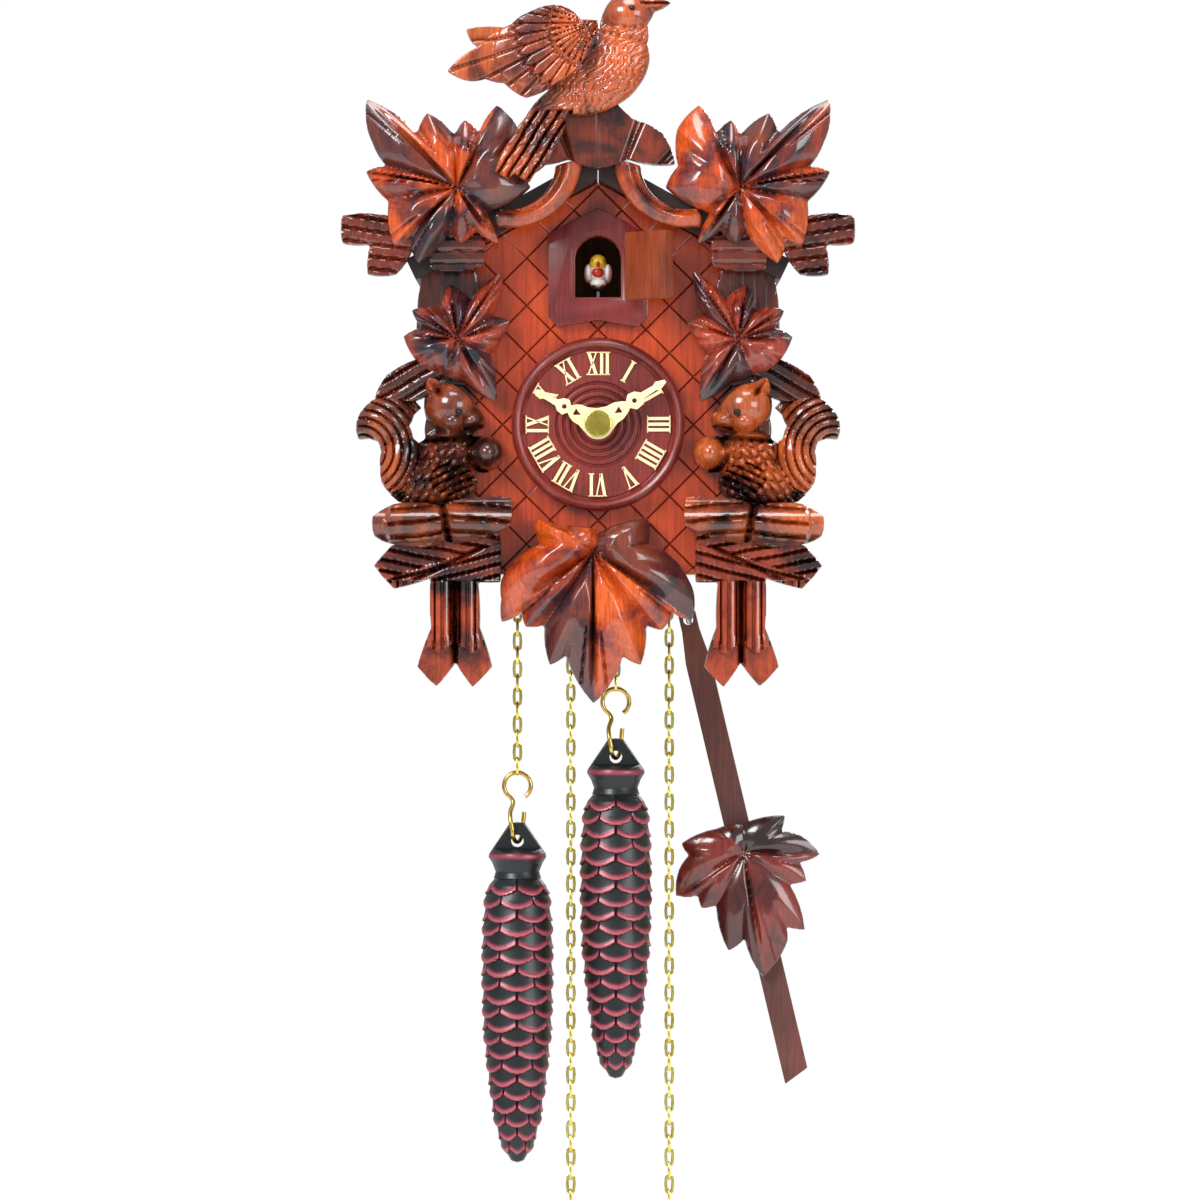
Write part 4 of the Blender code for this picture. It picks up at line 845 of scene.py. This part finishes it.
def build_numerals():
    """Moulded ivory numerals, their feet towards the middle of the dial."""
    for hour, text in enumerate(NUMERALS):
        bars = []
        for low, high, width in numeral_strokes(text):
            along = Vector((high[0] - low[0], high[1] - low[1]))
            deselect()
            bpy.ops.mesh.primitive_cube_add(size=MM)
            bar = bpy.context.object
            bar.scale = (along.length + (0.0 if width == SERIF else 0.2), NUMERAL_THICKNESS, width)
            bar.rotation_euler = (0, -math.atan2(along.y, along.x), 0)
            bar.location = ((low[0] + high[0]) / 2 * MM, 0, (low[1] + high[1]) / 2 * MM)
            bars.append(settle(bar))
        figure = join(bars, f"numeral_{hour or 12}")
        ease_edges(figure, 0.09, 1)
        apply_modifiers(figure)
        turn = 2 * math.pi * hour / 12
        figure.data.transform(Matrix.Translation((0, 0, NUMERAL_RADIUS * MM)))
        figure.data.transform(Matrix.Rotation(turn, 4, "Y"))
        figure.data.transform(Matrix.Translation((DIAL[0] * MM, -96.95 * MM, DIAL[1] * MM)))
        dress(figure, IVORY)


# ---- door, cuckoo and hands ----------------------------------------------------------------
def finish_node(name, material, ease=0.0):
    """Keeps a CAD node's shape and gives it its finish, with its edges eased by so many millimetres."""
    node = NODES[name]
    node.data.materials.clear()
    node.data.materials.append(material)
    if ease:
        weld = node.modifiers.new("Weld", "WELD")
        weld.merge_threshold = 0.00001
        ease_edges(node, ease, angle=50.0)


def ball(name, centre, radii, material, body, tilt=0.0, nodes=(), segments=32, rings=18):
    """A rounded form on an ellipsoid, tipped about the X axis: part of the cuckoo, or a bead for an eye."""
    deselect()
    bpy.ops.mesh.primitive_uv_sphere_add(segments=segments, ring_count=rings, radius=MM)
    form = bpy.context.object
    form.name = name
    form.scale = radii
    form.rotation_euler = (math.radians(tilt), 0, 0)
    form.location = [c * MM for c in centre]
    settle(form)
    smooth(form, 60)
    return dress(form, material, body, nodes)


def build_cuckoo():
    """The moulded cuckoo: white, with a yellow head, a red breast and black legs."""
    body = "cuckoo_bird"
    trunk = ball("cuckoo_trunk", (0, -80.0, -20.3), (4.0, 7.6, 4.5), WHITE_PAINT, body, -18, ["cuckoo_bird"])
    points = points_of(trunk)
    tail = np.clip((points[:, 1] + 78.0) / 6.0, 0, 1)
    points[:, 2] = points[:, 2] * (1 - 0.35 * tail) + 0.35 * tail * -21.5
    place_points(trunk, points)
    ball("cuckoo_head", (0, -85.0, -16.0), (3.0, 3.2, 3.0), YELLOW_PAINT, body)
    ball("cuckoo_breast", (0, -86.2, -19.6), (2.3, 1.6, 1.9), RED_PAINT, body)
    ball("cuckoo_belly", (0, -84.0, -23.4), (3.0, 3.0, 1.7), WHITE_PAINT, body)
    for side, word in SIDES:
        ball("cuckoo_wing_" + word, (3.5 * side, -82.0, -19.8), (1.6, 5.4, 3.3), WHITE_PAINT, body, -14)
        ball("cuckoo_leg_" + word, (1.4 * side, -85.4, -24.6), (0.7, 0.9, 1.5), BLACK_PAINT, body)
        ball("cuckoo_eye_" + word, (1.9 * side, -86.9, -15.4), (0.5, 0.5, 0.5), BEAD, body)
    for word, low, tip in (("upper", -16.4, -16.2), ("lower", -17.2, -17.7)):
        deselect()
        bpy.ops.mesh.primitive_cone_add(vertices=16, radius1=0.75 * MM, radius2=0.12 * MM, depth=2.6 * MM)
        beak = bpy.context.object
        beak.name = "cuckoo_beak_" + word
        beak.rotation_euler = (math.radians(90) + math.atan2(low - tip, 2.6) * (1 if word == "lower" else 0.4), 0, 0)
        beak.location = (0, -88.9 * MM, (low + tip) / 2 * MM)
        settle(beak)
        smooth(beak, 50)
        dress(beak, RED_PAINT, body)


def build_door():
    """The cuckoo's door, the hands and their nut keep their CAD shapes, with eased edges."""
    finish_node("cuckoo_door", DOOR_WOOD, 0.4)
    for name in ("hour_hand", "minute_hand"):
        finish_node(name, IVORY, 0.18)
    finish_node("hand_nut", CHAIN_BRASS, 0.5)


# ---- pine-cone weights ---------------------------------------------------------------------
WEIGHT_PROFILE = [(0, 0), (2.6, 0), (4.2, -2.4), (10.4, -11.6), (10.6, -12.8), (9.2, -15.0), (8.0, -18.2), (8.6, -20.2),
                  (10.6, -23.0), (12.0, -28.0), (12.8, -40.0), (13.0, -56.0), (12.5, -76.0), (10.9, -92.0),
                  (8.6, -109.0), (5.6, -119.5), (2.6, -124.2), (0, -125.0)]
WEIGHT_LENGTH = 125.0
SCALE_ROW, SCALES_ROUND, SCALE_STANDS, FIRST_SCALE, LAST_ROW = 5.0, 6, 1.5, -21.5, 20
SCALE_ROWS_LONG, SCALE_BOW, SCALE_HALF = 2.0, 1.9, 0.47
LUG_HALF, LUG_LOW, EYE_DROP, EYE_RADIUS = 2.3, -10.8, 6.9, 2.3
SHOULDER = -12.3


def build_weight(side, x_centre, top):
    """A cast cone: rows of broad scales with thick lower edges, each row half a scale round from the row above."""
    deselect()
    bpy.ops.mesh.primitive_uv_sphere_add(segments=120, ring_count=380, radius=MM)
    cone = bpy.context.object
    cone.name = side + "_cast_cone"
    start = points_of(cone)
    turn = np.arctan2(start[:, 1], start[:, 0])
    down = -WEIGHT_LENGTH * np.arccos(np.clip(start[:, 2], -1, 1)) / math.pi
    heights = np.array([z for r, z in WEIGHT_PROFILE])[::-1]
    radii = np.array([r for r, z in WEIGHT_PROFILE])[::-1]
    radius = np.interp(down, heights, radii)
    scaled = down < FIRST_SCALE + 1
    row = (FIRST_SCALE - down) / SCALE_ROW
    sector = (turn + math.pi / 2) / (2 * math.pi) * SCALES_ROUND
    rise, lip_paint_and_highlight = np.zeros_like(down), np.zeros_like(down)
    for shift in (-1, 0, 1, 2):
        index = np.floor(row) - shift
        across = (sector + 0.5 * (index % 2)) % 1.0 - 0.5
        end = index + 1.0 - SCALE_BOW * across ** 2
        reach = (row - end + SCALE_ROWS_LONG) / SCALE_ROWS_LONG
        shown = (reach > 0) & (reach <= 1) & (index >= 0) & (index < LAST_ROW) & (np.abs(across) < SCALE_HALF)
        slope = np.where(shown, 0.12 + 0.70 * reach ** 2 + 0.18 * np.exp(-((reach - 0.93) / 0.07) ** 2), 0)
        # wine red on each scale's raised lower edge: partly dry-brushed paint, partly painted highlight
        lip_paint_and_highlight = np.where(slope > rise, np.clip((reach - 0.70) / 0.22, 0, 1), lip_paint_and_highlight)
        rise = np.maximum(rise, slope)
    small = np.clip(radius / 9.0, 0.2, 1)
    radius = radius + SCALE_STANDS * (rise - 0.62) * small * scaled
    points = np.column_stack([radius * np.cos(turn), radius * np.sin(turn), down])
    lug = np.clip((down - LUG_LOW) / 1.2, 0, 1)
    limit = LUG_HALF + 6 * (1 - lug)
    points[:, 1] = np.where(lug > 0, np.clip(points[:, 1], -limit, limit), points[:, 1])
    place_points(cone, points + np.array([x_centre, CHAIN_Y, top]))
    # wine red band round the rim under the lug: partly paint, partly painted highlight
    shoulder_paint_and_highlight = 0.8 * np.exp(-((down - SHOULDER) / 1.3) ** 2)
    record_depth(cone, np.where(scaled, lip_paint_and_highlight, shoulder_paint_and_highlight))
    deselect()
    bpy.ops.mesh.primitive_cylinder_add(vertices=32, radius=EYE_RADIUS * MM, depth=20 * MM,
                                        location=(x_centre * MM, CHAIN_Y * MM, (top - EYE_DROP) * MM),
                                        rotation=(math.radians(90), 0, 0))
    drill = bpy.context.object
    hole = cone.modifiers.new("Hook eye", "BOOLEAN")
    hole.operation = "DIFFERENCE"
    hole.object = drill
    apply_modifiers(cone)
    bpy.data.objects.remove(drill)
    smooth(cone, 40)
    dress(cone, IRON, side + "_weight", [side + "_weight"])


# ---- chains and hooks ----------------------------------------------------------------------
def smooth_path(points, steps=6):
    """A smooth curve through the points."""
    ring = [Vector(p) for p in points]
    ring = [2 * ring[0] - ring[1], *ring, 2 * ring[-1] - ring[-2]]
    made = []
    for a, b, c, d in zip(ring, ring[1:], ring[2:], ring[3:]):
        for i in range(steps):
            t = i / steps
            made.append(0.5 * (2 * b + (c - a) * t + (2 * a - 5 * b + 4 * c - d) * t ** 2
                               + (3 * b - a - 3 * c + d) * t ** 3))
    return [*made, ring[-2]]


def wire(name, points, radius, material, body, nodes=()):
    """A bent wire along points in millimetres."""
    data = bpy.data.curves.new(name, "CURVE")
    data.dimensions = "3D"
    data.bevel_depth = radius * MM
    data.bevel_resolution = 4
    data.use_fill_caps = True
    spline = data.splines.new("POLY")
    spline.points.add(len(points) - 1)
    for point, place in zip(spline.points, points):
        point.co = (*(Vector(place) * MM), 1.0)
    curve = bpy.data.objects.new(name, data)
    bpy.context.scene.collection.objects.link(curve)
    make_active(curve)
    bpy.ops.object.convert(target="MESH")
    made = turn_outward(bpy.context.object)
    smooth(made, 50)
    return dress(made, material, body, nodes)


def link_shape():
    """The points and faces of one chain link, longest along X and lying in the plane of X and Y."""
    deselect()
    bpy.ops.mesh.primitive_torus_add(major_segments=12, minor_segments=6,
                                     major_radius=(CHAIN_WIDTH - CHAIN_WIRE) / 2 * MM, minor_radius=CHAIN_WIRE / 2 * MM)
    torus = bpy.context.object
    points = points_of(torus)
    stretch = (CHAIN_PITCH - (CHAIN_WIDTH - 2 * CHAIN_WIRE)) / 2
    points[:, 0] += np.where(points[:, 0] > 0.01, stretch, np.where(points[:, 0] < -0.01, -stretch, 0))
    faces = [tuple(face.vertices) for face in torus.data.polygons]
    bpy.data.objects.remove(torus)
    return points, faces


LINK_POINTS, LINK_FACES = link_shape()


def chain(name, path, body, nodes=()):
    """Links strung along a path, every second one turned a quarter."""
    track = np.array([tuple(p) for p in path])
    steps = np.linalg.norm(np.diff(track, axis=0), axis=1)
    along = np.concatenate([[0], np.cumsum(steps)])
    count = int(along[-1] / CHAIN_PITCH)
    verts, faces = [], []
    side = np.array([1.0, 0.0, 0.0])
    for index in range(count):
        middle = (index + 0.5) * along[-1] / count
        ends = [np.array([np.interp(middle + s * CHAIN_PITCH / 2, along, track[:, k]) for k in range(3)])
                for s in (-1, 0, 1)]
        ahead = ends[2] - ends[0]
        ahead = ahead / np.linalg.norm(ahead)
        side = side - ahead * side.dot(ahead)
        side = side / np.linalg.norm(side)
        other = np.cross(ahead, side)
        first, second = (side, other) if index % 2 == 0 else (other, -side)
        place = LINK_POINTS @ np.array([ahead, first, second]) + ends[1]
        faces += [tuple(v + len(verts) for v in face) for face in LINK_FACES]
        verts += [tuple(p) for p in place]
    made = mesh_object(name, verts, [], faces)
    turn_outward(made)
    smooth(made, 60)
    return dress(made, CHAIN_BRASS, body, nodes)


HANK_RUN, HANK_MIDDLE = 52.0, -406.8
HANK_LAYERS = (5.4, 1.8, -1.8, -5.4)
HANK_OUTER, HANK_INNER = 12.6, 9.0
HANK_TURNS = 8
FOLD_TURNS = [math.pi * i / 6 for i in range(1, 6)]
RUN_SHARES = (0.02, 0.33, 0.66, 0.98)


def hank_path(x, top):
    """Down from the sprocket, then eight long loops: four wide ones to the front and four inside them."""
    points = [(x, CHAIN_Y, top), (x, CHAIN_Y, top - 60), (x, CHAIN_Y, top - 130), (x, CHAIN_Y, -290),
              (x, CHAIN_Y, -345), (x, CHAIN_Y + 0.4, -362), (x + 0.4, CHAIN_Y + 4.2, -380),
              (x + 4.5, CHAIN_Y + 5.4, -392), (x + 10.8, CHAIN_Y + 5.4, -401)]
    loops = [(r, y) for r, y in zip((HANK_OUTER,) * 4 + (HANK_INNER,) * 4, HANK_LAYERS + HANK_LAYERS[::-1])]
    for number, (radius, layer) in enumerate(loops):
        after = loops[min(number + 1, HANK_TURNS - 1)]
        y = CHAIN_Y + layer
        low = HANK_MIDDLE - HANK_RUN
        points += [(x + radius, y, HANK_MIDDLE - share * HANK_RUN) for share in RUN_SHARES]
        points += [(x + radius * math.cos(a), y, low - radius * math.sin(a)) for a in FOLD_TURNS]
        if number == HANK_TURNS - 1:
            break
        for share in RUN_SHARES:
            ease = share * share * (3 - 2 * share)
            wide = radius + (after[0] - radius) * ease
            points.append((x - wide, y + (after[1] - layer) * ease, low + share * HANK_RUN))
        points += [(x - after[0] * math.cos(a), CHAIN_Y + after[1], HANK_MIDDLE + after[0] * math.sin(a))
                   for a in FOLD_TURNS]
    return points


RING_RADIUS, HOOK_RADIUS = 4.9, 4.6
HOOK_TURN = math.radians(23)           # the hook's plane stands this far round from the chain's


def hook_points(x, top):
    """A ring above, and below it a hook through the hole in the weight's lug."""
    ring = Vector((x, CHAIN_Y, top + 13.3))
    points = [ring + Vector((RING_RADIUS * math.sin(a), 0.0, -RING_RADIUS * math.cos(a)))
              for a in (math.radians(34 + 296 * i / 14) for i in range(15))]
    bend = Vector((x, CHAIN_Y, top - 2.7))
    across = Vector((math.sin(HOOK_TURN), math.cos(HOOK_TURN), 0.0))
    neck = [Vector((x - 1.6, CHAIN_Y - 0.6, top + 7.0)), Vector((x - 2.6, CHAIN_Y - 2.4, top + 3.6)),
            Vector((x - 2.4, CHAIN_Y - 4.0, top + 0.4))]
    curl = [bend + HOOK_RADIUS * (across * math.cos(a) + Vector((0, 0, math.sin(a))))
            for a in (math.radians(180 + 180 * i / 8) for i in range(9))]
    tip = bend + HOOK_RADIUS * across + Vector((0.6, 0.3, 6.2))
    return [*points, *neck, *curl, tip]


SPROCKET = 9.8                 # the chain wheels' radius, where the chains leave them
RING_RISE = 18.0               # from a weight's top to the last link in the hook's ring
LOADED_STEPS = 12
END_RING, TIE_WIDE, TIE_DEEP = 4.0, 15.2, 7.8


def build_chain_side(side, arbor, weight_top):
    """One chain wheel's two chains, with the weight on one and the hank at the end of the other."""
    x, z = arbor
    weight_x, free_x = x - SPROCKET, x + SPROCKET
    start = z + SPROCKET
    drop = weight_top + RING_RISE - start
    loaded = [(weight_x, CHAIN_Y, start + drop * i / LOADED_STEPS) for i in range(LOADED_STEPS + 1)]
    strand = chain(side + "_loaded_links", loaded, side + "_weight", [side + "_chain_loaded"])
    wire(side + "_bent_hook", smooth_path(hook_points(weight_x, weight_top)), 0.8, BRASS, side + "_weight",
         [side + "_weight_hook"])
    build_weight(side, weight_x, weight_top)

    tail_body = side + "_chain_tail"
    path = smooth_path(hank_path(free_x, z), 4)
    links = chain(side + "_tail_links", path, tail_body, [side + "_chain_free", side + "_chain_hank"])
    end = path[-1]
    circle = [(end.x + END_RING * math.sin(a) - 4.2, end.y, end.z - END_RING * math.cos(a) + 1.0)
              for a in (2 * math.pi * i / 32 for i in range(33))]
    ring = wire(side + "_end_ring", circle, 0.6, BRASS, tail_body)
    for word, height in (("upper", -414.0), ("lower", -452.0)):
        band = [(free_x + TIE_WIDE * math.copysign(abs(math.cos(a)) ** 0.5, math.cos(a)),
                 CHAIN_Y + TIE_DEEP * math.copysign(abs(math.sin(a)) ** 0.5, math.sin(a)), height)
                for a in (2 * math.pi * i / 48 for i in range(49))]
        wire(f"{side}_{word}_tie", band, 0.5, STEEL, tail_body)


# ---- pendulum, case boards and movement ----------------------------------------------------
def build_pendulum():
    finish_node("pendulum_rod", ROD_WOOD, 0.35)
    relief = star_relief(PENDULUM_LEAF, (54.0, -232.0), edge=0.35)
    carve("carved_pendulum_leaf", PENDULUM_LEAF, -40.5, -48.0, relief, PENDULUM_WOOD, body="pendulum_leaf",
          nodes=["pendulum_leaf"])


NODE_FINISHES = [
    (CASE_DARK, 0.6, ["case_side_left", "case_side_right"]),
    (ROOF_WOOD, 0.15, ["roof_left", "roof_right"]),
    (PINE, 0.5, ["case_bottom", "back_gable", "back_panel", "whistle_left", "whistle_right", "bellows_top_left",
                 "bellows_top_right"]),
    (BRASS, 0.12, ["wall_hanger", "front_plate", "back_plate", "centre_wheel", "time_great_wheel", "third_wheel",
                   "escape_wheel", "cannon_pinion", "minute_wheel", "hour_wheel", "strike_great_wheel"]),
    (STEEL, 0.0, ["time_chain_wheel", "strike_chain_wheel", "anchor_and_leader", "gong", "gong_hammer",
                  "cuckoo_arm"]),
]


def build_boards():
    for material, ease, names in NODE_FINISHES:
        for name in names:
            finish_node(name, material, ease)


# ---- camera, floor and light ---------------------------------------------------------------
def softbox(name, place, target, size, power):
    """A square softbox that faces the clock."""
    light = bpy.data.lights.new(name, "AREA")
    light.energy = power
    light.size = size
    lamp = bpy.data.objects.new(name, light)
    lamp.location = place
    lamp.rotation_euler = (Vector(target) - Vector(place)).to_track_quat("-Z", "Y").to_euler()
    bpy.context.scene.collection.objects.link(lamp)


def build_studio():
    lens = bpy.data.cameras.new("camera")
    lens.lens, lens.sensor_width = 158.3, 36.0
    camera = bpy.data.objects.new("camera", lens)
    camera.location = (0.0007, -2.0, -0.1384)
    camera.rotation_euler = (math.radians(90), 0, 0)
    bpy.context.scene.collection.objects.link(camera)
    bpy.context.scene.camera = camera
    deselect()
    bpy.ops.mesh.primitive_plane_add(size=2.0, location=(0, -0.05, -0.500))
    floor = bpy.context.object
    floor.name = "pale_floor"
    settle(floor)
    paper, tree, shader = new_material("pale_paper_floor", Roughness=0.7)
    fibres = grain(tree, 1.5, 1.5)
    tone = add(tree, "ShaderNodeValToRGB", {"Fac": (fibres, "Fac")}, ((0.3, "#ececea"), (0.7, "#f4f4f2")))
    tree.links.new(tone.outputs["Color"], shader.inputs["Base Color"])
    floor.data.materials.append(paper)
    world = bpy.data.worlds.new("studio")
    bpy.context.scene.world = world
    world.use_nodes = True
    tree = world.node_tree
    tree.nodes["Background"].inputs["Color"].default_value = tint("#f4f6fa")
    tree.nodes["Background"].inputs["Strength"].default_value = 0.5
    backdrop = add(tree, "ShaderNodeBackground", {"Color": tint("#ffffff"), "Strength": 1.0})
    path = add(tree, "ShaderNodeLightPath")
    both = add(tree, "ShaderNodeMixShader", {0: (path, "Is Camera Ray"), 1: (tree.nodes["Background"], 0),
                                             2: (backdrop, 0)})
    tree.links.new(both.outputs[0], tree.nodes["World Output"].inputs["Surface"])
    middle = (0, -0.08, -0.12)
    softbox("key_softbox", (-0.85, -1.25, 0.75), middle, 0.7, 26.0)
    softbox("fill_softbox", (1.1, -1.1, 0.1), middle, 0.7, 9.0)
    softbox("top_softbox", (0.1, -0.35, 1.1), middle, 0.6, 10.0)
    softbox("back_softbox", (0.6, 1.2, 0.6), middle, 0.8, 9.0)
    bpy.context.scene.view_settings.view_transform = "Standard"


build_studio()
build_chain_side("strike", (-19.8, -99.7), -219.9)
build_chain_side("time", (16.3, -99.7), -189.1)
build_boards()
build_case_front()
build_surround()
build_dial()
build_numerals()
build_door()
build_cuckoo()
build_leaves()
build_squirrels()
build_crown()
build_bird()
build_pendulum()
